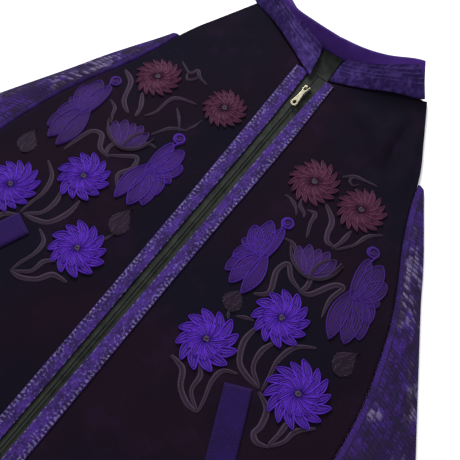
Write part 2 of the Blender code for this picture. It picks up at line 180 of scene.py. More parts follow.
# Satin-stitched stems on the wearer's left: widest part, then x and y of points along the stem.
STEMS_LEFT = [
    (3.2, 79, -75, 87, -68, 97, -65, 109, -63),
    (2.2, 96, -66, 89, -68, 86, -73, 91, -76, 95, -71),
    (3.0, 48, -119, 56, -120, 63, -124, 68, -130),
    (3.2, 62, -113, 65, -120, 72, -124, 74, -128),
    (4.0, 72, -120, 80, -119, 82, -129, 87, -142),
    (5.2, 82, -105, 95, -115, 99, -128, 103, -134, 111, -135),
    (4.2, 114, -113, 113, -126, 110, -137),
    (3.4, 138, -99, 128, -109, 123, -123, 112, -137),
    (3.2, 70, -154, 80, -153, 87, -158, 96, -166),
    (3.0, 124, -143, 122, -154, 113, -163, 100, -168),
    (5.0, 80, -210, 90, -201, 84, -182, 88, -171, 98, -180, 113, -185),
    (5.0, 108, -185, 118, -182, 129, -164, 137, -161, 134, -176, 137, -193),
    (5.2, 102, -160, 109, -167, 112, -177, 110, -186),
    (3.0, 80, -234, 88, -230, 95, -228),
    (5.4, 100, -229, 98, -246, 105, -262, 117, -268, 131, -270),
    (4.6, 119, -231, 114, -245, 117, -260, 130, -269),
    (4.2, 148, -216, 134, -226, 129, -243, 131, -257, 133, -271),
    (5.2, 58, -291, 72, -294, 80, -306, 92, -313, 103, -314),
    (4.2, 80, -282, 87, -290, 89, -304, 102, -313),
    (4.0, 110, -271, 99, -276, 97, -288, 101, -303, 103, -314),
    (5.4, 131, -272, 144, -279, 148, -292, 147, -300, 153, -304, 163, -301),
    (4.4, 163, -274, 163, -287, 161, -301),
    (4.0, 183, -268, 172, -279, 169, -291, 162, -301),
    (2.4, 77, -240, 74, -236, 72, -231),
]
# The wearer's right has the same stems, worked by hand with small differences.
STEMS_RIGHT = [
    (3.4, -77, -70, -88, -67, -95, -62, -99, -69, -114, -62),
    (2.4, -92, -62, -90, -70, -96, -76, -100, -70, -95, -64),
    (5.2, -152, -102, -138, -110, -129, -130, -116, -139),
    (4.4, -121, -113, -112, -126, -109, -138),
    (3.8, -72, -93, -88, -97, -95, -104, -97, -122, -103, -132),
    (2.6, -84, -107, -76, -114, -66, -126),
    (3.4, -85, -144, -77, -130, -69, -124, -61, -121),
    (2.4, -63, -122, -59, -113, -57, -103),
    (3.2, -72, -152, -80, -152, -86, -158, -94, -167),
    (3.2, -140, -137, -131, -141, -127, -149, -122, -157),
    (4.8, -75, -203, -82, -193, -76, -181, -80, -170, -92, -177, -104, -185),
    (5.0, -100, -185, -113, -182, -121, -171, -131, -174, -136, -190, -138, -204),
    (4.8, -98, -162, -104, -168, -107, -177, -104, -186),
    (5.2, -92, -233, -92, -248, -99, -264, -111, -270, -124, -272),
    (4.6, -112, -234, -108, -247, -111, -262, -123, -271),
    (4.2, -142, -220, -128, -230, -123, -246, -125, -260, -126, -273),
    (5.0, -50, -296, -64, -298, -72, -309, -84, -316, -95, -317),
    (4.2, -70, -287, -78, -294, -81, -307, -94, -316),
    (4.0, -102, -274, -91, -280, -89, -292, -93, -306, -95, -317),
    (5.2, -124, -275, -137, -283, -141, -296, -140, -304, -146, -308, -156, -305),
    (4.4, -156, -278, -156, -290, -154, -305),
    (4.0, -177, -271, -166, -283, -162, -295, -155, -305),
    (2.4, -51, -249, -50, -245, -48, -239),
]


def at(x, y, z):
    return Vector((x, y + NECK_Y, z)) * 0.001


def smooth(value):
    value = max(0.0, min(1.0, value))
    return value * value * (3 - 2 * value)


def table(rows, column, where):
    """Smooth value of a column at the place where along the first column."""
    c = rows[0].index(column)
    data = sorted((row[0], row[c]) for row in rows[1:])
    if where <= data[0][0]:
        return data[0][1]
    if where >= data[-1][0]:
        return data[-1][1]
    steps = [(b[1] - a[1]) / (b[0] - a[0]) for a, b in zip(data, data[1:])]
    slopes = [steps[0]] + [(a + b) / 2 for a, b in zip(steps, steps[1:])] + [steps[-1]]
    i = max(n for n in range(len(data) - 1) if data[n][0] <= where)
    (k0, c0), (k1, c1) = data[i], data[i + 1]
    h = k1 - k0
    f = (where - k0) / h
    return (c0 * (1 + 2 * f) * (1 - f) ** 2 + slopes[i] * h * f * (1 - f) ** 2
            + c1 * f * f * (3 - 2 * f) + slopes[i + 1] * h * f * f * (f - 1))


def spline(data, t):
    """Catmull-Rom point at t from 0 to 1 along rows of equal length."""
    place = max(0.0, min(1.0, t)) * (len(data) - 1)
    i = min(int(place), len(data) - 2)
    f = place - i
    p = [data[max(0, min(len(data) - 1, i + o))] for o in (-1, 0, 1, 2)]
    return [0.5 * (2 * b + (c - a) * f + (2 * a - 5 * b + 4 * c - d) * f * f
                   + (3 * b - a - 3 * c + d) * f ** 3) for a, b, c, d in zip(*p)]


def through(knots, count):
    """Points at equal steps of a spline."""
    return [spline(knots, k / count) for k in range(count + 1)]


def half_width(y):
    return table(OUTLINE, "half", y)


def tape_half(y):
    return table(ZIP, "tape", y)


def neckline(x):
    s = max(0.0, min(1.0, (abs(x) - 10) / (SHOULDER_X - 10)))
    dip = 3.0 * math.sin(math.pi * s) * (1 - s)
    return FRONT_NECK_Y + (SHOULDER_Y - FRONT_NECK_Y) * s - dip


def fold_height(x, y):
    """Sum of the listed soft troughs and ridges."""
    total = 0.0
    for x0, y0, x1, y1, width, depth in FOLDS[1:]:
        if (x0 > 0) != (x > 0):
            continue
        dx, dy = x1 - x0, y1 - y0
        run = math.hypot(dx, dy)
        f = ((x - x0) * dx + (y - y0) * dy) / (run * run)
        across = ((x - x0) * dy - (y - y0) * dx) / run
        if abs(across) > 3 * width or f < -0.3 or f > 1.3:
            continue
        ends = smooth((f + 0.3) / 0.45) * smooth((1.3 - f) / 0.45)
        total += depth * ends * math.exp(-(across / width) ** 2)
    return total


def front_lift(x, y):
    """Air and folds under a front panel, nothing along its seams."""
    inner = tape_half(y)
    s = (abs(x) - inner) / (half_width(y) - inner)
    top = neckline(x) if abs(x) < SHOULDER_X else SHOULDER_Y - (abs(x) - SHOULDER_X) * 2.1
    edge = smooth(s / 0.35) * smooth((1 - s) / 0.3)
    edge *= smooth((top - y) / 45) * smooth((y + BODY_LENGTH) / 60)
    # The long drag line from the shoulder, deeper on the wearer's left.
    across = (abs(x) - 104) - 0.34 * (-y)
    along = smooth((-y + 5) / 30) * smooth((95 + y) / 55)
    drag = 1.7 if x > 0 else 0.9 if x < 0 else 0.0
    near = smooth(s / 0.16) * smooth((1 - s) / 0.08) * smooth((top - y) / 16)
    lift = PUFF * edge - drag * edge * math.exp(-(across / 26) ** 2) * along
    return max(lift + fold_height(x, y) * near, -0.1)


def front_top(x, y):
    return CLOTH + SEAM_GAP + CLOTH + front_lift(x, y)


# Node helpers.

class Signal:
    """An output socket that sums and products can be written with."""

    def __init__(self, socket):
        self.socket = socket

    def __add__(self, other):
        return calc("ADD", self, other)

    def __sub__(self, other):
        return calc("SUBTRACT", self, other)

    def __rsub__(self, other):
        return calc("SUBTRACT", other, self)

    def __mul__(self, other):
        return calc("MULTIPLY", self, other)

    def __truediv__(self, other):
        return calc("DIVIDE", self, other)

    __radd__ = __add__
    __rmul__ = __mul__


def feed(socket, value):
    """Joins a socket to a signal, or sets its value; a colour gets its alpha."""
    if isinstance(value, Signal):
        socket.id_data.links.new(value.socket, socket)
    elif socket.type == "RGBA":
        socket.default_value = (*value, 1.0)
    else:
        socket.default_value = value


def add(where, kind, settings=None, **inputs):
    """Outputs of a new node in a tree, or in a signal's tree.
    Its inputs go by name or as i0, i1."""
    tree = where.socket.id_data if isinstance(where, Signal) else where
    node = tree.nodes.new(kind)
    for key, value in (settings or {}).items():
        setattr(node, key, value)
    for key, value in inputs.items():
        by_number = key[0] == "i" and key[1:].isdigit()
        feed(node.inputs[int(key[1:]) if by_number else key.replace("_", " ")], value)
    return [Signal(socket) for socket in node.outputs]


def calc(operation, *values, clamp=False):
    """Result of a Math node on numbers and signals."""
    where = next(value for value in values if isinstance(value, Signal))
    inputs = {f"i{n}": value for n, value in enumerate(values)}
    return add(where, "ShaderNodeMath", {"operation": operation, "use_clamp": clamp}, **inputs)[0]


def between(value, low, high):
    """Smooth step of a signal from low to high."""
    return add(value, "ShaderNodeMapRange", {"interpolation_type": "SMOOTHSTEP"},
               Value=value, From_Min=low, From_Max=high)[0]


def mix(factor, first, second):
    return add(factor, "ShaderNodeMix", {"data_type": "RGBA"}, i0=factor, i6=first, i7=second)[2]


def painted(colour, *coats):
    """The colour under coats, each a signal, its share and its own colour."""
    for signal, share, paint in coats:
        colour = mix(signal * share, colour, paint)
    return colour


def split(vector):
    return add(vector, "ShaderNodeSeparateXYZ", i0=vector)


def noise(place, scale, detail, roughness=0.5):
    return add(place, "ShaderNodeTexNoise", Vector=place, Scale=scale, Detail=detail,
               Roughness=roughness)[0]


def stretched(place, x_scale, y_scale):
    return add(place, "ShaderNodeMapping", i0=place, Scale=(x_scale, y_scale, 1.0))[0]


def streaks(place, x_scale, y_scale, detail=3.0, roughness=0.5):
    return noise(stretched(place, x_scale, y_scale), 1.0, detail, roughness)


def chance_of(cell, dimensions="2D"):
    """A random number for each whole place."""
    key = "W" if dimensions == "1D" else "Vector"
    return add(cell, "ShaderNodeTexWhiteNoise", {"noise_dimensions": dimensions}, **{key: cell})[0]


def new_group(kind, name, inputs, outputs):
    """A node group, its inputs as signals and its outputs' sockets."""
    tree = bpy.data.node_groups.new(name, kind + "NodeTree")
    for way, sockets in (("INPUT", inputs), ("OUTPUT", outputs)):
        for label, socket in sockets.items():
            tree.interface.new_socket(name=label, in_out=way, socket_type="NodeSocket" + socket)
    given = add(tree, "NodeGroupInput")[:len(inputs)]
    return tree, given, tree.nodes.new("NodeGroupOutput").inputs


def use_group(group, *values):
    """Outputs of a group whose inputs are fed in their order."""
    inputs = {f"i{n}": value for n, value in enumerate(values)}
    return add(values[0], "ShaderNodeGroup", {"node_tree": group}, **inputs)


def plain_weave_group():
    """Over-and-under weave of a cloth, as a height, with a slight slub."""
    tree, (place, threads), out = new_group(
        "Shader", "plain_weave", {"Vector": "Vector", "Threads per metre": "Float"},
        {"Height": "Float"})
    x, y, _ = split(place)
    turn = threads * math.pi
    over = calc("SINE", x * turn) * calc("SINE", y * turn)
    feed(out[0], over * 0.5 + noise(place, 420.0, 3.0))
    return tree


def patchy_dye_group():
    """Uneven dye: two colours that drift into each other and a third in spots."""
    tree, (place, scale, first, second, third, amount), out = new_group(
        "Shader", "patchy_dye",
        {"Vector": "Vector", "Scale": "Float", "First": "Color", "Second": "Color",
         "Spots": "Color", "Spot amount": "Float"}, {"Color": "Color", "Drift": "Float"})
    drift = noise(place, scale, 4.0)
    body = mix(between(drift, 0.36, 0.64), first, second)
    spots = between(noise(place, scale * 3.7, 5.0, 0.65), 0.52, 0.68) * amount
    feed(out[0], mix(spots, body, third))
    feed(out[1], drift)
    return tree


def satin_stitch_group():
    """Threads laid side by side over a padded shape; UV x runs along it in units
    of 10 mm, UV y from 0 to 1 across it."""
    tree, (place, rim_from), out = new_group(
        "Shader", "satin_stitch", {"UV": "Vector", "Rim from": "Float"},
        {"Height": "Float", "Rim": "Float"})
    along, across, _ = split(place)
    thread_wave = calc("SINE", (along + across * 0.25) * (2 * math.pi / 0.07))
    side = calc("ABSOLUTE", across * 2.0 - 1.0)
    feed(out[0], thread_wave * 0.5 + noise(place, 14.0, 2.0))
    # Rim marks where a thread is painted lighter: a painted highlight along the stitch edges and raised cords.
    feed(out[1], between(side, rim_from, rim_from + 0.28))
    return tree


WEAVE = plain_weave_group()
DYE = patchy_dye_group()
SATIN = satin_stitch_group()
COTTON_SHEEN = (0.04, (0.6, 0.5, 0.9))


def start_material(name, roughness, sheen=0.0, tint=(1, 1, 1), metallic=0.0, specular=0.12):
    """A material with its UV and its object coordinates."""
    mat = bpy.data.materials.new(name)
    mat.use_nodes = True
    shader = mat.node_tree.nodes["Principled BSDF"]
    for key, value in (("Roughness", roughness), ("Metallic", metallic),
                       ("Specular IOR Level", specular), ("Sheen Weight", sheen),
                       ("Sheen Roughness", 0.5), ("Sheen Tint", tint)):
        feed(shader.inputs[key], value)
    place = add(mat.node_tree, "ShaderNodeTexCoord")
    return mat, place[2], place[3]


def finish_material(mat, colour, height, distance, strength=0.5, **more):
    """Gives the material its colour, its bump and what else it has."""
    shader = mat.node_tree.nodes["Principled BSDF"]
    more["Normal"] = add(height, "ShaderNodeBump", Height=height, Distance=distance,
                         Strength=strength)[0]
    more["Base Color"] = colour
    for key, value in more.items():
        feed(shader.inputs[key], value)
    return mat


def dyed_cloth(name, scale, dyes, spots=0.5, threads=1100.0, depth=0.0002, roughness=0.88,
               sheen=COTTON_SHEEN, specular=0.12):
    mat, _, place = start_material(name, roughness, *sheen, specular=specular)
    dye = use_group(DYE, place, scale, *dyes, spots)[0]
    return finish_material(mat, dye, use_group(WEAVE, place, threads)[0], depth)


def collar_cloth():
    """Patchy violet with lighter threads that run along the band's upper half.
    UV x runs along the band in units of 10 mm, UV y from its seam to its edge."""
    mat, uv, place = start_material("collar_cotton", 0.88, *COTTON_SHEEN)
    across = split(uv)[1]
    dye, drift = use_group(DYE, place, 85.0, (0.016, 0.006, 0.060), (0.031, 0.014, 0.102),
                           (0.052, 0.028, 0.165), 0.8)
    blocks = add(uv, "ShaderNodeVectorMath", {"operation": "FLOOR"}, i0=stretched(uv, 2.6, 7.0))[0]
    check = chance_of(blocks)
    soft = between(check, 0.45, 0.9) * between(drift, 0.35, 0.6)
    lines = None
    for centre, width in ((0.47, 0.014), (0.60, 0.014), (0.74, 0.014), (0.88, 0.016)):
        line = 1.0 - between(calc("ABSOLUTE", across - centre), width * 0.4, width * 1.6)
        lines = line if lines is None else calc("MAXIMUM", lines, line)
    lines = lines * between(noise(uv, 3.0, 3.0), 0.36, 0.56)
    colour = painted(dye, (soft, 0.5, (0.066, 0.038, 0.175)),
                     (between(check, 0.3, 0.05), 0.55, (0.011, 0.005, 0.038)),
                     (lines, 0.45, (0.10, 0.075, 0.22)))
    return finish_material(mat, colour, use_group(WEAVE, place, 1100.0)[0] + lines * 1.5, 0.0003)


def band_cloth():
    """Woven band: UV x runs along it in millimetres, UV y from the zip outwards."""
    mat, uv, place = start_material("band_cotton", 0.88, *COTTON_SHEEN)
    figure = 3.7
    along, across, _ = split(uv)
    wobble = streaks(uv, 0.30, 4.0)
    shifted = along + wobble * 3.4
    each = chance_of(calc("FLOOR", shifted / figure), "1D")
    beat = calc("SINE", shifted * (2 * math.pi / figure))
    worn = between(streaks(uv, 0.08, 1.0), 0.30, 0.62) * (each + 0.35)
    dye = use_group(DYE, place, 110.0, (0.014, 0.005, 0.045), (0.032, 0.011, 0.118),
                    (0.054, 0.026, 0.18), 0.7)[0]

    def row(low, high, low_beat, high_beat):
        above = calc("MULTIPLY", across - (low + (each - 0.5) * 0.16), 14.0, clamp=True)
        inside = above * (1.0 - between(across, high - 0.05, high))
        return inside * between(beat, low_beat, high_beat)

    light = row(0.78, 0.98, 0.15, 0.75) * worn
    dark = row(0.66, 0.99, 0.0, -0.7)
    marks = between(streaks(uv, 0.42, 5.0), 0.55, 0.63)
    bright = calc("MULTIPLY", marks, 0.25 + between(across, 0.25, 0.70), clamp=True)
    holes = between(streaks(uv, 0.36, 4.2, 4.0), 0.46, 0.38)
    inner = (1.0 - between(across, 0.03, 0.10)) * between(wobble, 0.50, 0.60)
    colour = painted(dye, (holes, 0.6, (0.009, 0.005, 0.024)), (dark, 0.85, (0.007, 0.005, 0.012)),
                     (bright, 0.60, (0.125, 0.098, 0.25)), (light, 0.9, (0.155, 0.135, 0.235)),
                     (inner, 0.55, (0.15, 0.13, 0.235)))
    return finish_material(mat, colour, use_group(WEAVE, place, 1000.0)[0] + light * 0.8, 0.0003)


def ikat_cloth():
    """Ikat: UV x across the sleeve from its inner seam and UV y along it, in millimetres."""
    mat, uv, place = start_material("ikat_cotton", 0.9, *COTTON_SHEEN)
    across, along, _ = split(uv)
    wobble = (streaks(uv, 0.22, 0.22, 3.0, 0.6) - 0.5) * 5.0
    column = (across + wobble) / 6.6
    rung = (along + wobble) / 4.1
    cell = add(uv, "ShaderNodeCombineXYZ", i0=calc("FLOOR", column), i1=calc("FLOOR", rung))[0]
    each = chance_of(cell)
    # Pale marks gather in clouds, and most of them at one height of the sleeve.
    bell = (along - 105.0) / 60.0
    bell = calc("EXPONENT", bell * bell * -1.0)
    zone = streaks(uv, 0.030, 0.013, 3.0, 0.6) + (bell * 0.13 - 0.045)
    deep = streaks(uv, 0.045, 0.022, 3.0, 0.6)
    fleck = streaks(uv, 1.1, 0.5, 3.0, 0.7)
    dye = use_group(DYE, place, 60.0, (0.010, 0.003, 0.032), (0.024, 0.007, 0.096),
                    (0.038, 0.012, 0.16), 0.6)[0]
    lattice = calc("MAXIMUM", between(calc("FRACT", rung), 0.55, 0.68),
                   between(calc("FRACT", column), 0.68, 0.80) * 0.8)
    woven = lattice * between(streaks(uv, 0.10, 0.05, 2.0, 0.6), 0.36, 0.50)
    pale = between(zone, 0.50, 0.57) * between(each, 0.28, 0.75)
    pale = calc("MAXIMUM", pale, between(fleck, 0.62, 0.68) * 0.75)
    ink = between(deep, 0.50, 0.57) * between(each, 0.15, 0.4)
    ink = calc("MAXIMUM", ink, between(each, 0.26, 0.12) * 0.8)
    colour = painted(dye, (pale, 0.75, (0.115, 0.092, 0.175)), (ink, 0.75, (0.010, 0.005, 0.020)),
                     (woven, 0.85, (0.007, 0.004, 0.014)))
    # The plain strip along the inner seam, with a dark line beside it.
    line = 1.0 - between(calc("ABSOLUTE", across - 5.6), 0.3, 1.0)
    plain = 1.0 - between(across, 4.8, 5.2)
    steps = calc("SINE", (along + wobble) * (2 * math.pi / 3.4))
    strip = painted(dye, (between(steps, 0.0, 0.6), 0.65, (0.011, 0.005, 0.030)),
                    (between(fleck, 0.5, 0.7), 0.5, (0.050, 0.020, 0.17)))
    colour = painted(mix(plain, colour, strip), (line, 0.4, (0.008, 0.005, 0.016)))
    return finish_material(mat, colour, use_group(WEAVE, place, 900.0)[0], 0.0003)


def thread(name, deep, rim, rim_from, roughness=0.55):
    # The rim colour is a lighter copy of the deep colour, a painted highlight on the raised cords and the edges
    # of the stitches.
    mat, uv, place = start_material(name, roughness, 0.05, (0.8, 0.7, 1.0))
    height, edge = use_group(SATIN, uv, rim_from)
    dark = tuple(c * 0.55 for c in deep)
    body = mix(between(noise(place, 55.0, 3.0), 0.3, 0.7), dark, deep)
    return finish_material(mat, mix(edge, body, rim), height, 0.0004, 0.7)


def zip_tape_cloth():
    mat, _, place = start_material("zip_tape_cloth", 0.75, 0.1, (0.6, 0.7, 0.6))
    rib = calc("SINE", split(place)[0] * (2 * math.pi / 0.0011))
    drift = noise(place, 130.0, 4.0)
    colour = mix(between(drift, 0.35, 0.65), (0.0075, 0.0085, 0.008), (0.016, 0.018, 0.015))
    return finish_material(mat, colour, rib + drift, 0.0002)


def pale_metal():
    mat, _, place = start_material("pale_brass", 0.3, metallic=1.0)
    wear = noise(place, 500.0, 4.0)
    colour = mix(between(wear, 0.35, 0.7), (0.17, 0.155, 0.11), (0.215, 0.20, 0.148))
    rough = add(place, "ShaderNodeMapRange", Value=wear, To_Min=0.22, To_Max=0.42)[0]
    return finish_material(mat, colour, wear, 0.0001, 0.3, Roughness=rough)


def paper():
    mat, _, place = start_material("paper_floor", 0.9)
    grain = noise(place, 90.0, 4.0)
    colour = mix(between(grain, 0.3, 0.7), (0.80, 0.80, 0.80), (0.84, 0.84, 0.84))
    return finish_material(mat, colour, grain, 0.0002, 0.2)


BLACK_DYES = ((0.0041, 0.0036, 0.0080), (0.0070, 0.0035, 0.0078), (0.0098, 0.0044, 0.0130))
LINING_DYES = ((0.044, 0.014, 0.135), (0.062, 0.021, 0.19), (0.080, 0.030, 0.24))
WELT_DYES = ((0.0064, 0.0012, 0.030), (0.0100, 0.0018, 0.045), (0.014, 0.0028, 0.060))
BLACK = dyed_cloth("black_cotton", 7.0, BLACK_DYES, spots=0.6, threads=1400.0, depth=0.00012,
                   roughness=0.92, sheen=(0.002, (0.55, 0.45, 0.8)), specular=0.025)
COLLAR_INSIDE = dyed_cloth("collar_lining", 30.0, LINING_DYES)
WELT_CLOTH = dyed_cloth("welt_cotton", 35.0, WELT_DYES)
IKAT = ikat_cloth()
COLLAR_CLOTH = collar_cloth()
BAND = band_cloth()
TAPE = zip_tape_cloth()
METAL = pale_metal()
# Each thread: its deep colour, a lighter copy of it painted as a highlight on cords and stitch edges, and from
# where across the stitch that highlight starts.
VIOLET = thread("violet_thread", (0.033, 0.0055, 0.155), (0.074, 0.014, 0.37), 0.50, 0.7)
MAROON = thread("maroon_thread", (0.026, 0.006, 0.020), (0.092, 0.022, 0.056), 0.46, 0.75)
INDIGO = thread("indigo_thread", (0.023, 0.004, 0.062), (0.046, 0.009, 0.205), 0.42, 0.75)
DUSK = thread("dusk_thread", (0.017, 0.0035, 0.042), (0.036, 0.0075, 0.135), 0.42, 0.75)
BUD = thread("bud_thread", (0.026, 0.007, 0.058), (0.046, 0.014, 0.128), 0.42, 0.75)
MAUVE = thread("mauve_thread", (0.018, 0.009, 0.022), (0.042, 0.024, 0.047), 0.35, 0.75)
LEAF = thread("leaf_thread", (0.011, 0.005, 0.015), (0.054, 0.028, 0.058), 0.28, 0.8)
KNOT = thread("knot_thread", (0.10, 0.075, 0.13), (0.16, 0.12, 0.20), 0.4)
SEWING = thread("sewing_thread", (0.010, 0.004, 0.034), (0.018, 0.008, 0.056), 0.4)


# Mesh helpers.

def linked(name, data):
    obj = bpy.data.objects.new(name, data)
    bpy.context.scene.collection.objects.link(obj)
    return obj


def edit(mesh, change):
    bm = bmesh.new()
    bm.from_mesh(mesh)
    change(bm)
    bm.to_mesh(mesh)
    bm.free()


def face_up(mesh):
    edit(mesh, lambda bm: [face.normal_flip() for face in bm.faces if face.normal.z < 0])


def new_mesh(name, points, faces, uvs, mat):
    """A mesh from points in metres, with one UV for each point."""
    mesh = bpy.data.meshes.new(name)
    mesh.from_pydata(points, [], faces)
    corners = np.empty(len(mesh.loops), dtype=np.int32)
    mesh.loops.foreach_get("vertex_index", corners)
    layer = mesh.uv_layers.new(name="UVMap")
    layer.data.foreach_set("uv", np.asarray(uvs, dtype=np.float32)[corners].ravel())
    mesh.materials.append(mat)
    return mesh


def new_piece(name, points, faces, uvs, mat):
    """A smooth piece from plan points in millimetres."""
    mesh = new_mesh(name, [at(*p) for p in points], faces, uvs, mat)
    mesh.shade_smooth()
    mesh.update()
    return linked(name, mesh)


def loose_object(name, points, faces, uvs, mat):
    """A small mesh near the origin, from millimetres, for a tree to copy."""
    mesh = new_mesh(name, [Vector(p) * 0.001 for p in points], faces, uvs, mat)
    face_up(mesh)
    return linked(name, mesh)


def grid_faces(rows, columns, turned=False, wrap=False, first=0):
    """Quads between rows of points; wrap closes each row, turned starts down a column."""
    faces = []
    for k in range(rows - 1):
        for i in range(columns if wrap else columns - 1):
            j = (i + 1) % columns
            a, b = first + k * columns + i, first + k * columns + j
            c, d = b + columns, a + columns
            faces.append((a, d, c, b) if turned else (a, b, c, d))
    return faces


def sheet_piece(name, place, uv_of, across, along, mat, wall=0.0, flip=False):
    """A grid over place(u, v), given a wall below it."""
    spots = [(i / across, j / along) for j in range(along + 1) for i in range(across + 1)]
    faces = grid_faces(along + 1, across + 1)
    if flip:
        faces = [face[::-1] for face in faces]
    points = [place(*spot) for spot in spots]
    obj = new_piece(name, points, faces, [uv_of(*spot) for spot in spots], mat)
    if wall:
        solid = obj.modifiers.new("wall", "SOLIDIFY")
        solid.thickness = wall * 0.001
        solid.offset = -1
    return obj


def strip_piece(name, x0, x1, y0, y1, z_of, wall, mat, along, across, crown=0.0, flip=False):
    def place(u, v):
        y = y0 + (y1 - y0) * v
        x = x0(y) + (x1(y) - x0(y)) * u
        return x, y, z_of(x, y) + crown * math.sin(math.pi * u)

    return sheet_piece(name, place, lambda u, v: (v * (y1 - y0), u), across, along, mat, wall, flip)


def ride_as(obj, body, slot, *nodes):
    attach(obj, body)
    if nodes:
        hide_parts(*nodes)
    return obj


def poly_curve(name, lines, dimensions):
    """A curve of straight runs through points in metres; flat ones are closed."""
    curve = bpy.data.curves.new(name, "CURVE")
    curve.dimensions = dimensions
    for points in lines:
        run = curve.splines.new("POLY")
        run.points.add(len(points) - 1)
        for dot, point in zip(run.points, points):
            dot.co = (*point, 1)
        run.use_cyclic_u = dimensions == "2D"
    return curve


def baked(source):
    """The plain mesh that an object shows; the object goes away."""
    bpy.context.view_layer.update()
    graph = bpy.context.evaluated_depsgraph_get()
    mesh = bpy.data.meshes.new_from_object(source.evaluated_get(graph))
    bpy.data.objects.remove(source)
    return mesh


# Geometry Nodes trees: petals set in a ring, and stitches along a line.

def copy_tree(name, inputs, lay_out):
    """A tree of copies; lay_out gives their points, shape, turn and scale."""
    inputs = {"Geometry": "Geometry", **inputs, "Thread": "Material"}
    tree, given, out = new_group("Geometry", name, inputs, {"Geometry": "Geometry"})
    points, shape, turn, scale = lay_out(*given[:-1])
    copies = add(tree, "GeometryNodeInstanceOnPoints", Points=points, Instance=shape, Rotation=turn,
                 Scale=scale)
    real = add(tree, "GeometryNodeRealizeInstances", i0=copies[0])
    feed(out[0], add(tree, "GeometryNodeSetMaterial", Geometry=real[0], Material=given[-1])[0])
    return tree


def ring_layout(source, petal, petals, turn, uneven, seed):
    """Copies of one petal turned round a centre at equal steps, a little uneven."""
    chance = add(source, "FunctionNodeRandomValue", {"data_type": "FLOAT"}, Seed=seed)[1]
    spread = (chance - 0.5) * uneven
    step = calc("DIVIDE", 2 * math.pi, petals)
    angle = add(source, "GeometryNodeInputIndex")[0] * step + turn + spread
    size = 1.0 + spread
    return (add(source, "GeometryNodeMeshLine", Count=petals, Offset=(0, 0, 0))[0],
            add(source, "GeometryNodeObjectInfo", Object=petal)[4],
            add(source, "ShaderNodeCombineXYZ", i2=angle)[0],
            add(source, "ShaderNodeCombineXYZ", i0=size, i1=size, i2=1.0)[0])


def stitch_layout(source, pitch, length, thickness, across):
    """Short raised stitches set end to end along a line, with gaps between them."""
    points, tangent = add(source, "GeometryNodeCurveToPoints", {"mode": "LENGTH"},
                          Curve=source, Length=pitch)[:2]
    aim = add(source, "FunctionNodeAlignRotationToVector", {"axis": "X"}, Vector=tangent)[0]
    about = add(source, "ShaderNodeCombineXYZ", i2=across)[0]
    return (points, add(source, "GeometryNodeMeshUVSphere", Segments=6, Rings=4, Radius=0.5)[0],
            add(source, "FunctionNodeRotateRotation", {"rotation_space": "LOCAL"}, i0=aim, i1=about)[0],
            add(source, "ShaderNodeCombineXYZ", i0=length, i1=thickness, i2=thickness)[0])


PETAL_RING = copy_tree("petal_ring", {"Petal": "Object", "Petals": "Int", "Turn": "Float", "Uneven": "Float",
                                      "Seed": "Int"}, ring_layout)
STITCH_LINE = copy_tree("stitch_line", {"Pitch": "Float", "Length": "Float", "Thickness": "Float",
                                        "Across": "Float"}, stitch_layout)


def grow(name, source, tree, **inputs):
    """The object that a tree makes from another one, which goes away."""
    modifier = source.modifiers.new("grow", "NODES")
    modifier.node_group = tree
    sockets = {s.name: s.identifier for s in tree.interface.items_tree
               if s.item_type == "SOCKET" and s.in_out == "INPUT"}
    for key, value in inputs.items():
        modifier[sockets[key]] = value
    mesh = baked(source)
    mesh.name = name
    mesh.shade_smooth()
    return linked(name, mesh)


def stitches(name, lines, mat, pitch, length, thick, across=0.0):
    """Stitches along lines, each a list of plan points in millimetres."""
    lines = [[at(*p) for p in line] for line in lines]
    source = linked(name + "_line", poly_curve(name, lines, "3D"))
    return grow(name, source, STITCH_LINE, Pitch=pitch * 0.001, Length=length * 0.001,
                Thickness=thick * 0.001, Across=across, Thread=mat)


# The cloth.

def front_name(side):
    return "front_left" if side > 0 else "front_right"


def front_place(side, u, v, raise_by=0.0):
    y_in = -BODY_LENGTH + v * (BODY_LENGTH + FRONT_NECK_Y)
    y_out = -BODY_LENGTH + v * (BODY_LENGTH + SHOULDER_Y)
    x_in = tape_half(y_in) + SEAM_GAP
    x = x_in + (half_width(y_out) - x_in) * u
    y = y_in + (y_out - y_in) * u
    y -= 3.0 * math.sin(math.pi * u) * (1 - u) * smooth((v - 0.8) / 0.2)
    return side * x, y, front_top(side * x, y) + raise_by


def back_place(u, v):
    s = u * 2 - 1
    y_mid = -BODY_LENGTH + v * (BODY_LENGTH + BACK_NECK_Y)
    y_out = -BODY_LENGTH + v * (BODY_LENGTH + SHOULDER_Y)
    return s * half_width(y_out), y_mid + (y_out - y_mid) * abs(s), CLOTH


# Soft creases across a sleeve: place along it, slant, width and height.
CREASES = [
    (0.30, 0.10, 0.018, -0.7), (0.42, 0.16, 0.022, 0.6), (0.52, 0.22, 0.016, -0.8),
    (0.60, 0.12, 0.024, 0.7), (0.71, -0.08, 0.018, -0.7), (0.83, 0.10, 0.022, 0.5),
]
# Places across a sleeve at which its upper skin has points.
SLEEVE_STEPS = [0.02, 0.05, 0.1, 0.16, 0.23, 0.31, 0.4, 0.5, 0.6, 0.69, 0.77, 0.84, 0.9, 0.95, 0.98]
SLEEVE_ROWS = 120
HOLLOW_FROM = 66


def sleeve_top(s, t, width):
    crown = SLEEVE_EDGE + (SLEEVE_CROWN - SLEEVE_EDGE) * smooth((width - 10) / 22)
    seam = CLOTH * 2 + SEAM_GAP
    z = seam + (crown - seam) * max(0.0, math.sin(math.pi * s)) ** 0.7
    for t0, slant, wide, depth in CREASES:
        across = ((t - t0) - slant * (s - 0.5)) / wide
        z += depth * math.exp(-across ** 2) * math.sin(math.pi * s) ** 1.5
    return z


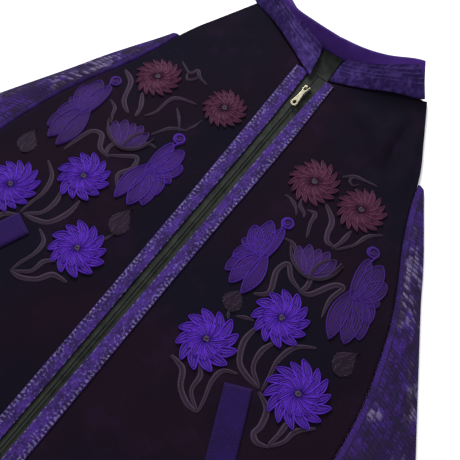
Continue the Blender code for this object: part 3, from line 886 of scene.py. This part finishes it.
def sleeve(name, side):
    """Flattened tube: outer skin, hollow from the cuff, hemmed cuff edge."""
    points, uvs, faces, outer, hollow = [], [], [], [], []
    run = 0.0
    last = None
    for k in range(SLEEVE_ROWS + 1):
        t = k / SLEEVE_ROWS
        in_x, in_y, out_x, out_y = spline(SLEEVE[1:], t)
        in_x = max(in_x, half_width(in_y) + 0.12)
        width = math.hypot(out_x - in_x, out_y - in_y)
        middle = ((in_x + out_x) / 2, (in_y + out_y) / 2)
        run += math.dist(middle, last) if last else 0.0
        last = middle

        def ring(inset, lift):
            e = (1.6 + inset) / width
            out = [(s, lift) for s in (e, 0.2, 0.4, 0.6, 0.8, 1 - e)]
            tip = 1 - inset / width
            out += [(tip, 0.9 + lift * 0.5), (tip, 2.0)]
            for s in reversed(SLEEVE_STEPS):
                inside = e + (1 - 2 * e) * (s - 0.02) / 0.96
                out.append((inside, max(sleeve_top(inside, t, width) - lift, lift + 0.4)))
            out += [(inset / width, 2.4 if not lift else 2.0), (inset / width, 0.9 + lift * 0.5)]
            first = len(points)
            for s, z in out:
                points.append((side * (in_x + (out_x - in_x) * s), in_y + (out_y - in_y) * s, z))
            uvs.extend((s * width, run) for s, _ in out)
            return list(range(first, first + len(out)))

        outer.append(ring(0.0, 0.0))
        if k >= HOLLOW_FROM:
            hollow.append(ring(2.2, CLOTH))
    for rings in (outer, hollow[::-1], [outer[-1], hollow[-1]]):
        for a, b in zip(rings, rings[1:]):
            n = len(a)
            faces.extend((a[i], a[(i + 1) % n], b[(i + 1) % n], b[i]) for i in range(n))
    faces += [tuple(reversed(outer[0])), tuple(hollow[0])]
    obj = new_piece(name, points, faces, uvs, IKAT)
    edit(obj.data, lambda bm: bmesh.ops.recalc_face_normals(bm, faces=bm.faces))
    ride_as(obj, "jacket", "ikat_cloth", "sleeve_left" if side > 0 else "sleeve_right")


def bell(t, middle, width):
    return math.exp(-((t - middle) / width) ** 2)


def collar_place(u, v):
    side = 1 if u > 0.5 else -1
    t = 1 - abs(u * 2 - 1)
    corner = max(0.0, (v - 0.6) / 0.4)
    start = 0.07 * (1 - math.sqrt(max(0.0, 1 - corner * corner)))
    t = start + (1 - start) * t
    bx, by, bz, tx, ty, tz = spline(COLLAR[1:], t)
    flare = bell(t, 0.52, 0.12)
    bx, by = bx + 3.0 * flare, by - 2.5 * flare
    if side < 0:
        # On the wearer's right the end laps lower, the base flares and the back edge sags.
        bx += 9.0 * bell(t, 0.50, 0.20) * smooth((0.85 - t) / 0.2)
        lap = bell(t, 0.0, 0.15)
        bx, by, bz = bx - 5.5 * lap, by - 7.5 * lap, bz + 3.4 * lap
        sag = bell(t, 0.66, 0.17)
        ty, tz = ty - 7.5 * sag, tz - 5.5 * sag
    bulge = 1.2 * math.sin(math.pi * v)
    ripple = 0.35 * math.sin(t * 55 + 4 * v) * math.sin(math.pi * v) * smooth((0.55 - t) / 0.2)
    return (side * (bx + (tx - bx) * v), by + (ty - by) * v - bulge - ripple,
            bz + (tz - bz) * v + (bulge + ripple) * 0.5)


def welt(name, side):
    a = math.radians(WELT["angle"])
    down = (math.sin(a), -math.cos(a))
    over = (math.cos(a), math.sin(a))

    def place(u, v, lift=0.0):
        s = (u - 0.5) * WELT["width"]
        d = (1 - v) * WELT["length"]
        x = WELT["x"] + down[0] * d + over[0] * s
        y = WELT["y"] + down[1] * d + over[1] * s
        rim = min(u, 1 - u, v * 6.5, (1 - v) * 6.5)
        z = front_top(side * x, y) + SEAM_GAP + STRIP + 0.7 * smooth(rim / 0.12) + lift
        return side * x, y, z

    obj = sheet_piece(name + "_cloth", place, lambda u, v: (u * 2, v * 15), 14, 60, WELT_CLOTH,
                      wall=1.2, flip=side < 0)
    ride_as(obj, "jacket", "violet_cloth", name)
    lines = [[place(u, 0.02 + 0.96 * k / 40, 0.15) for k in range(41)] for u in (0.10, 0.90)]
    lines += [[place(0.1 + 0.8 * k / 8, v, 0.15) for k in range(9)] for v in (0.02, 0.98)]
    sewn = stitches(name + "_topstitch", lines, SEWING, pitch=2.6, length=1.9, thick=0.45)
    ride_as(sewn, "jacket", "violet_cloth")


# Embroidery.

def on_front(x, y, height):
    return x, y, front_top(x, y) + height


def on_origin(x, y, height):
    return x, y, height


def looped_petal(root, tip, breadth, bend, lay, pad, cord, point, count, lines=2, full=1.35):
    """A padded petal with a cord round its edge and finer lines inside it.
    lay(x, y, height) sets its points; UV y is 0 on the cords and 0.5 between."""
    run = math.dist(root, tip)
    dx, dy = (tip[0] - root[0]) / run, (tip[1] - root[1]) / run

    def axis(s):
        off = bend * run * math.sin(math.pi * s)
        return root[0] + dx * run * s - dy * off, root[1] + dy * run * s + dx * off

    edge = []
    half_count = count // 2
    for sign in (1, -1):
        for i in range(half_count):
            f = i / half_count
            s = 0.5 - 0.5 * math.cos(math.pi * (f if sign > 0 else 1 - f))
            half = 0.5 * breadth * math.sin(math.pi * min(1.0, 0.001 + s ** full)) ** point * sign
            ax, ay = axis(s)
            edge.append(((ax - dy * half, ay + dx * half), axis(min(0.90, max(0.10, s)))))
    # Distance inwards from the edge (or share of the way to the middle), height, UV y; a UV y near 0 paints the
    # thread's highlight on the raised cords.
    rings = [
        (0.0, None, 0.0, 0.05), (0.12, None, cord * 0.75, 0.02), (0.55, None, cord, 0.0),
        (0.95, None, cord * 0.8, 0.06), (1.2, None, pad * 0.6, 0.40),
    ]
    # Further lines of stitches follow the edge inside it.
    for k in range(lines):
        middle = 0.20 + 0.74 * (k + 0.8) / lines
        rings += [(None, middle - 0.24 / lines, pad * 0.75, 0.36),
                  (None, middle, pad + 0.32, 0.08 + 0.03 * (k % 2)),
                  (None, middle + 0.24 / lines, pad * 0.8, 0.34)]
    rings.append((None, 1.0, pad * 0.85, 0.24))
    points, uvs = [], []
    n = len(edge)
    last = [0.0] * n
    for inset, share, height, tone in rings:
        for i, (p, c) in enumerate(edge):
            reach = math.dist(p, c) or 1e-6
            f = min(0.40, inset / reach) if share is None else min(1.0, max(share, last[i] + 0.012))
            last[i] = f
            points.append(lay(p[0] + (c[0] - p[0]) * f, p[1] + (c[1] - p[1]) * f, height))
            uvs.append((i / n * run * 0.24, tone))
    return points, grid_faces(len(rings), n, wrap=True), uvs


def joined(name, objects):
    """One mesh of several objects, which keep their materials and UVs."""
    bpy.ops.object.select_all(action="DESELECT")
    for obj in objects:
        obj.select_set(True)
    bpy.context.view_layer.objects.active = objects[0]
    bpy.ops.object.join()
    objects[0].name = name
    objects[0].data.name = name
    return objects[0]


def petal_ring(name, petal, mat, count, turn, seed, lift, uneven=0.10):
    source = loose_object("petal", *petal, mat)
    centre = bpy.data.meshes.new("centre")
    centre.from_pydata([(0, 0, 0)], [], [])
    ring = grow(name, linked("centre", centre), PETAL_RING, Petal=source, Petals=count, Turn=turn,
                Uneven=uneven, Seed=seed, Thread=mat)
    bpy.data.objects.remove(source)
    # Each petal in turn overlaps the next a little.
    each = len(ring.data.vertices) // count
    for vert in ring.data.vertices:
        vert.co.z += (lift + 0.25 * (vert.index // each % 2)) * 0.001
    return ring


def flower(name, x, y, radius, petals, turn):
    maroon = "maroon" in name
    mat = MAROON if maroon else VIOLET
    seed = int(abs(x) + abs(y))
    arc = 2 * math.pi / petals
    breadth = radius * arc * (0.60 if maroon else 0.66)
    top = APPLIQUE - 0.7
    parts = []
    for label, reach, start, wide, turned, first, more, lift in (
            ("_outer", radius, 2.0, breadth, 0.55, turn, 0, 0.0),
            ("_inner", radius * 0.68, 1.2, breadth * 0.78, 0.60, turn + arc * 0.5, 1, 0.55)):
        tip = (reach * math.cos(turned), reach * math.sin(turned))
        petal = looped_petal((start, 0.0), tip, wide, -0.17, on_origin, pad=top * 0.68, cord=top,
                             point=0.58, count=28, lines=1, full=1.5)
        parts.append(petal_ring(name + label, petal, mat, petals, first, seed + more, lift))
    # A low pad closes the middle, with a knot of thread on it.
    count = 32
    disc, uvs = [(0, 0, 1.3)], [(0, 0.5)]
    for r, z in ((0.30, 1.2), (0.46, 0.7), (0.52, 0.0)):
        for i in range(count):
            a = 2 * math.pi * i / count
            disc.append((radius * r * math.cos(a), radius * r * math.sin(a), z))
            uvs.append((i / count * 9, 0.5))
    faces = [(0, 1 + i, 1 + (i + 1) % count) for i in range(count)] + grid_faces(3, count, True, True, 1)
    parts.append(loose_object("pad", disc, faces, uvs, mat))
    bead = looped_petal((0.15, 0), (2.5, 0.5), 1.7, 0.1, on_origin, pad=0.8, cord=0.9,
                        point=0.7, count=12, lines=0)
    parts.append(petal_ring(name + "_knot", bead, KNOT, 7, 0.0, seed + 3, lift=2.3, uneven=0.3))
    obj = joined(name + "_stitched", parts)
    # The motif was made at the origin and is now laid on the front.
    for vert in obj.data.vertices:
        px, py = vert.co.x * 1000 + x, vert.co.y * 1000 + y
        vert.co = at(px, py, front_top(px, py) + SEAM_GAP + vert.co.z * 1000)
    obj.data.update()
    ride_as(obj, "jacket", "maroon_thread" if maroon else "violet_thread", name)


def ribbon(path, widths, height, lift=0.3, tone=None):
    """A padded ribbon of satin stitch: path of plan points, a width at each."""
    points, uvs = [], []
    across = 6
    run = 0.0
    count = len(path)
    for k, (x, y) in enumerate(path):
        x0, y0 = path[max(0, k - 1)]
        x1, y1 = path[min(count - 1, k + 1)]
        size = math.hypot(x1 - x0, y1 - y0) or 1.0
        nx, ny = -(y1 - y0) / size, (x1 - x0) / size
        if k:
            run += math.dist(path[k - 1], path[k])
        for i in range(across + 1):
            q = i / across * 2 - 1
            px, py = x + nx * q * widths[k] / 2, y + ny * q * widths[k] / 2
            z = front_top(px, py) + lift * (0.2 if abs(q) > 0.99 else 1.0)
            z += height * math.sqrt(max(0.0, 1 - q * q)) * min(1.0, widths[k] / 1.2)
            points.append((px, py, z))
            # UV y across the ribbon paints the thread's highlight on its edges; a tone of 0 paints it over the
            # whole cord.
            uvs.append((run / 10, i / across if tone is None else tone))
    return points, grid_faces(count, across + 1, True), uvs


def merged(name, slot, shapes, mats, *nodes):
    """One piece from several (points, faces, uvs, material index)."""
    points, faces, uvs, slots = [], [], [], []
    for p, f, u, index in shapes:
        base = len(points)
        points += p
        uvs += u
        faces += [tuple(base + i for i in face) for face in f]
        slots += [index] * len(f)
    obj = new_piece(name, points, faces, uvs, mats[0])
    for mat in mats[1:]:
        obj.data.materials.append(mat)
    obj.data.polygons.foreach_set("material_index", slots)
    face_up(obj.data)
    return ride_as(obj, "jacket", slot, *nodes)


def stem_shapes(stems):
    shapes = []
    for widest, *flat in stems:
        knots = list(zip(flat[::2], flat[1::2]))
        length = sum(math.dist(a, b) for a, b in zip(knots, knots[1:]))
        count = max(10, int(length / 1.4))
        widths = []
        for k in range(count + 1):
            f = k / count
            widths.append(widest * (0.22 + 0.78 * math.sin(math.pi * min(1, 0.06 + f * 0.95)) ** 0.7)
                          * (1 + 0.12 * math.sin(f * 11 + widest)))
        widths[0] *= 0.4
        widths[-1] *= 0.4
        shapes.append((*ribbon(through(knots, count), widths, height=0.75), 0))
    return shapes


def motif_frame(start, end, width, side):
    """spot(a, b): a along from start to end, b across in widths."""
    length = math.dist(start, end)
    ux, uy = (end[0] - start[0]) / length, (end[1] - start[1]) / length
    vx, vy = -uy * side, ux * side

    def spot(a, b):
        return start[0] + ux * length * a + vx * width * b, start[1] + uy * length * a + vy * width * b

    return spot, length


def petal_set(rows, spot, length, side, step=0.10, cord=1.3):
    shapes = []
    for n, (root_a, root_b, tip_a, tip_b, breadth, bend, point) in enumerate(rows):
        petal = looped_petal(spot(root_a, root_b), spot(tip_a, tip_b), breadth * length, bend * side,
                             lambda x, y, h, n=n: on_front(x, y, (h + 0.1 + step * n) if h else 0.0),
                             pad=0.7, cord=cord, point=point, count=40, lines=3, full=1.1)
        shapes.append((*petal, 0))
    return shapes


def bird(name, hx, hy, tx, ty, width, side):
    spot, length = motif_frame((hx, hy), (tx, ty), width, side)
    shapes = petal_set(FEATHERS[1:], spot, length, side)
    # The round head is a cord that winds inwards to its middle.
    cx, cy = spot(0.01, 0.02)
    path, widths = [], []
    for k in range(49):
        f = k / 48
        a = 2 * math.pi * 1.75 * f
        r = 4.7 - (0.2 if f < 0.57 else 3.1 * (f - 0.57) / 0.43)
        path.append((cx + r * math.cos(a + 1.0) * 1.12, cy + r * math.sin(a + 1.0)))
        widths.append(2.1 - 0.5 * f)
    disc = [on_front(cx, cy, 0.9)]
    for k in range(16):
        a = k * math.pi / 8
        disc.append(on_front(cx + 4.2 * math.cos(a), cy + 4.2 * math.sin(a), 0.5))
    faces = [(0, 1 + i, 1 + (i + 1) % 16) for i in range(16)]
    shapes.append((disc, faces, [(0.1 * i, 0.5) for i in range(17)], 0))
    # The head and neck cords take a tone of 0, so the thread's painted highlight covers them.
    shapes.append((*ribbon(path, widths, height=1.2, lift=0.6, tone=0.0), 0))
    neck = through([(0.06, 0.10), (0.10, 0.06), (0.16, 0.02), (0.30, -0.02)], 12)
    widths = [2.0 - 0.08 * k for k in range(13)]
    shapes.append((*ribbon([spot(*place) for place in neck], widths, height=1.2, lift=0.7, tone=0.0), 0))
    merged(name + "_stitched", "indigo_thread", shapes, [INDIGO if "inner" in name else DUSK], name)


def leaf(name, rx, ry, tx, ty, width):
    """A leaf of slanting stitches on both sides of its vein, with a drawn-out tip."""
    points, uvs = [], []
    run = math.dist((rx, ry), (tx, ty)) * 1.12
    dx, dy = (tx - rx) / run * 1.12, (ty - ry) / run * 1.12
    along, across = 48, 20
    for j in range(along + 1):
        s = j / along
        half = 0.5 * width * math.sin(math.pi * min(1.0, 0.02 + 0.98 * s ** 0.72)) ** (0.75 + 0.9 * s)
        half *= 1 + 0.05 * math.sin(s * 40)
        sway = 2.2 * math.sin(math.pi * s ** 1.5) - 3.0 * s ** 3
        for i in range(across + 1):
            q = i / across * 2 - 1
            px = rx + dx * run * s - dy * (q * half + sway)
            py = ry + dy * run * s + dx * (q * half + sway)
            vein = math.exp(-(q / 0.13) ** 2)
            drift = 0.9 * math.sin(s * run * 0.83) + 1.1 * math.sin(q * 5 + s * 9)
            wave = math.sin((s * run - abs(q) * half * 0.9) * 2 * math.pi / 2.1 + drift)
            crest = max(0.0, wave) ** 1.5 * (1 - vein) * (0.55 + 0.45 * math.sin(s * 17 + q * 11))
            height = 0.45 + 0.8 * math.sqrt(max(0.0, 1 - q * q)) + 0.32 * crest - 0.45 * vein
            points.append(on_front(px, py, 0.1 if i in (0, across) else height))
            # UV y rises with each stitch crest, which paints a highlight on the raised crests of the stitches.
            uvs.append((s * run / 10, 0.5 + 0.5 * crest))
    faces = grid_faces(along + 1, across + 1, True)
    merged(name + "_stitched", "mauve_thread", [(points, faces, uvs, 0)], [LEAF], name)


# Petals and sepals of a bud, in the same form as a bird's feathers.
BUD_PETALS = [
    (0.02, -0.04, 0.84, -0.44, 0.40, -0.08, 0.55), (0.04, 0.04, 0.86, 0.46, 0.40, 0.10, 0.55),
    (0.00, 0.00, 1.02, -0.22, 0.42, -0.04, 0.5), (0.02, 0.02, 1.02, 0.25, 0.42, 0.04, 0.5),
    (0.00, 0.00, 1.00, 0.03, 0.40, 0.0, 0.5),
]
SEPALS = [
    ((-0.06, 0.00), (0.06, -0.20), (0.32, -0.44), (0.66, -0.58), (0.84, -0.62)),
    ((-0.06, 0.00), (0.02, 0.20), (0.16, 0.38), (0.42, 0.55), (0.74, 0.64)),
    ((-0.10, 0.04), (0.20, 0.06), (0.50, 0.14), (0.70, 0.26), (0.84, 0.42)),
]


def bud(name, rx, ry, tx, ty, width):
    """A bud of overlapping petals that stand in mauve sepals."""
    side = 1 if tx > rx else -1
    spot, length = motif_frame((rx, ry), (tx, ty), width, side)
    shapes = petal_set(BUD_PETALS, spot, length, side, 0.08, 1.2)
    widths = [1.0 + 2.4 * math.sin(math.pi * min(1, 0.1 + k / 24)) for k in range(25)]
    for knots in SEPALS:
        path = [spot(*place) for place in through(knots, 24)]
        shapes.append((*ribbon(path, widths, height=0.9, lift=1.3), 1))
    merged(name + "_stitched", "indigo_thread", shapes, [BUD, MAUVE], name)


back = sheet_piece("back_cloth", back_place, lambda u, v: (u * 40, v * 60), 24, 60, BLACK, wall=1.5)
ride_as(back, "jacket", "black_cloth", "back")

for name, side in (("front_cloth_left", 1), ("front_cloth_right", -1)):
    front = sheet_piece(name, lambda u, v: front_place(side, u, v),
                        lambda u, v: (u * 20, v * 60), 64, 170, BLACK, wall=1.4, flip=side < 0)
    ride_as(front, "jacket", "black_cloth", front_name(side))

sleeve("sleeve_cloth_left", 1)
sleeve("sleeve_cloth_right", -1)

collar = sheet_piece("collar_band", collar_place, lambda u, v: (u * 36, v), 190, 16, COLLAR_CLOTH,
                     wall=1.9, flip=True)
collar.data.materials.append(COLLAR_INSIDE)
collar.modifiers["wall"].material_offset = 1
ride_as(collar, "jacket", "violet_cloth", "collar")

for name, side, column in (("zip_band_left", 1, "band_left"), ("zip_band_right", -1, "band_right")):
    band = strip_piece(name + "_cloth", lambda y: side * (tape_half(y) + 0.3),
                       lambda y: side * table(ZIP, column, y), -BODY_LENGTH + 0.3, 2.0,
                       lambda x, y: front_top(x, y) + SEAM_GAP + STRIP, 0.9, BAND, 260, 12,
                       crown=0.5, flip=side < 0)
    ride_as(band, "jacket", "violet_cloth", name)

welt("pocket_welt_left", 1)
welt("pocket_welt_right", -1)

for make, rows in ((flower, FLOWERS), (bird, BIRDS), (leaf, LEAVES), (bud, BUDS)):
    for row in rows[1:]:
        make(*row)
merged("stems_left", "mauve_thread", stem_shapes(STEMS_LEFT), [MAUVE])
merged("stems_right", "mauve_thread", stem_shapes(STEMS_RIGHT), [MAUVE])

# The zip: rounded tape edges that meet over the chain, threads across them.
TAPE_TOP = CLOTH + SEAM_GAP + STRIP
ZIP_END = -23.5
for name, side in (("left", 1), ("right", -1)):
    edge = strip_piece("zip_edge_" + name, lambda y: side * 0.12, lambda y: side * 2.6,
                       -BODY_LENGTH + 14, ZIP_END, lambda x, y: TAPE_TOP + 0.35, 0.0, TAPE, 140, 8,
                       crown=1.15, flip=side < 0)
    ride_as(edge, "jacket", "zip_tape")
    if side > 0:
        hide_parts("zip_chain")
    line = [(side * 1.4, -BODY_LENGTH + 15 + k * 5.0, TAPE_TOP + 1.5) for k in range(111)]
    sewn = stitches("zip_thread_" + name, [line], TAPE, pitch=1.5, length=0.7, thick=0.5,
                    across=math.pi / 2)
    ride_as(sewn, "jacket", "zip_tape")
    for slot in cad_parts["zip_tape_" + name].material_slots:
        slot.material = TAPE

guard = strip_piece("zip_guard_cloth", lambda y: -10.6, lambda y: 10.6, 3.7, 29.0,
                    lambda x, y: TAPE_TOP + 8.2 * smooth((y - 1) / 38), 1.0, TAPE, 24, 12, crown=0.25)
ride_as(guard, "jacket", "zip_tape", "zip_guard")


# Slider, its tab and the stop at the hem.

def plate(name, outlines, middle, z, thick, edge):
    """A metal plate with holes and rounded edges, from outlines about (0, middle)."""
    lines = [[(x * 0.001, (y + middle + NECK_Y) * 0.001, 0) for x, y in line] for line in outlines]
    curve = poly_curve(name, lines, "2D")
    curve.fill_mode = "BOTH"
    curve.extrude = (thick / 2 - edge) * 0.001
    curve.bevel_depth = edge * 0.001
    curve.bevel_resolution = 3
    curve.offset = -edge * 0.001
    mesh = baked(linked(name + "_line", curve))

    def weld(bm):
        bmesh.ops.remove_doubles(bm, verts=bm.verts, dist=1e-7)
        bmesh.ops.translate(bm, verts=bm.verts, vec=(0, 0, z * 0.001))
        bmesh.ops.recalc_face_normals(bm, faces=bm.faces)

    edit(mesh, weld)
    mesh.materials.clear()
    mesh.materials.append(METAL)
    return linked(name, mesh)


def oval(cy, rx, ry, count=24, power=1.0):
    points = []
    for i in range(count):
        c, s = math.cos(2 * math.pi * i / count), math.sin(2 * math.pi * i / count)
        points.append((rx * math.copysign(abs(c) ** power, c),
                       cy + ry * math.copysign(abs(s) ** power, s)))
    return points


def mirrored(half, count):
    """Closed outline from knots of its right half, given from top to bottom."""
    path = through(half, count)
    return path + [(-x, y) for x, y in reversed(path)]


SLIDER_Y = -18.0
BODY_HALF = [(0.9, 5.2), (2.0, 5.5), (3.0, 5.1), (3.4, 3.8), (3.2, 1.6), (2.8, -0.6), (2.6, -3.2),
             (2.5, -4.9), (1.8, -5.5)]
TAB_HALF = [(1.2, 0.5), (2.1, 0.2), (2.6, -0.9), (2.6, -2.6), (2.2, -4.4), (1.9, -5.8), (2.0, -8.0),
            (2.3, -11.0), (2.7, -15.0), (3.1, -18.5), (3.3, -20.8), (2.9, -22.9), (1.7, -24.0),
            (0.6, -24.4)]
STOP_HALF = [(0.8, 4.4), (2.6, 4.2), (3.4, 3.4), (3.5, 0.0), (3.4, -3.4), (2.6, -4.2), (0.8, -4.4)]
slider_body = plate("slider_body", [mirrored(BODY_HALF, 24)], SLIDER_Y, z=4.8, thick=3.3, edge=0.9)
# The bridge that holds the tab is an arch of round wire.
arch, uvs = [], []
for k in range(15):
    a = math.pi * k / 14
    cy, cz = SLIDER_Y + 2.1 + 2.5 * math.cos(a), 6.3 + 2.75 * math.sin(a) ** 0.8
    for i in range(8):
        b = 2 * math.pi * i / 8
        r = 0.55 * math.cos(b)
        arch.append((1.0 * math.sin(b), cy + r * math.cos(a), cz + r * math.sin(a)))
        uvs.append((k / 14, i / 8))
bridge = new_piece("slider_bridge", arch, grid_faces(15, 8, True, True), uvs, METAL)
ride_as(joined("slider_metal", [slider_body, bridge]), "jacket", "pale_brass", "slider")
eye = oval(-2.35, 1.35, 1.75, 24, power=0.8)
tab = plate("pull_tab_metal", [mirrored(TAB_HALF, 48), eye, oval(-20.3, 1.75, 2.0)],
            SLIDER_Y + 2.0, z=7.6, thick=1.3, edge=0.35)
ride_as(tab, "tab", "pale_brass", "pull_tab")
stop = plate("zip_stop_metal", [mirrored(STOP_HALF, 20), oval(0, 0.55, 2.6, 16)], -BODY_LENGTH + 8,
             z=TAPE_TOP + SEAM_GAP + 1.6, thick=3.1, edge=0.6)
ride_as(stop, "jacket", "pale_brass", "zip_box")

# The sewn line of the hem.
hem_lines = [[front_place(side, 0.03 + 0.95 * k / 90, 0.018, 0.1) for k in range(91)]
             for side in (1, -1)]
sewn = stitches("hem_topstitch", hem_lines, SEWING, pitch=3.0, length=2.1, thick=0.4)
ride_as(sewn, "jacket", "violet_thread")

# Floor, light and camera.
floor_mesh = bpy.data.meshes.new("floor")
floor_corners = [(-4, -4, -0.0006), (4, -4, -0.0006), (4, 4, -0.0006), (-4, 4, -0.0006)]
floor_mesh.from_pydata(floor_corners, [], [(0, 1, 2, 3)])
floor_mesh.materials.append(paper())
linked("floor", floor_mesh)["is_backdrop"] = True

world = bpy.data.worlds.new("studio")
world.use_nodes = True
world.node_tree.nodes["Background"].inputs[0].default_value = (0.95, 0.96, 1.0, 1)
world.node_tree.nodes["Background"].inputs[1].default_value = 0.62
bpy.context.scene.world = world
for name, place, target, size, watts in (
        ("key", (-0.95, 1.05, 1.0), (0, 0.05, 0), 0.7, 44.0), ("fill", (1.2, -0.2, 1.4), (0, 0, 0), 1.4, 10.0)):
    lamp = bpy.data.lights.new(name, "AREA")
    lamp.energy = watts
    lamp.size = size
    obj = linked(name, lamp)
    obj.location = place
    obj.rotation_euler = (Vector(target) - Vector(place)).to_track_quat("-Z", "Y").to_euler()

camera = bpy.data.cameras.new("camera")
camera.lens = 54.78
camera.sensor_fit = "HORIZONTAL"
camera.clip_start = 0.01
view = linked("camera", camera)
forward = Vector((-0.23786, 0.31454, -0.91896)).normalized()
right = forward.cross(Vector((-0.55494, 0.73248, 0.39435))).normalized()
turned = Matrix((right, right.cross(forward), -forward)).transposed()
view.matrix_world = Matrix.Translation((0.1736, -0.10486, 0.5607)) @ turned.to_4x4()
bpy.context.scene.camera = view
bpy.context.scene.view_settings.view_transform = "Standard"

size = {"cad": [list(corner) for corner in cad_box], "visual": [list(corner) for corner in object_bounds()]}
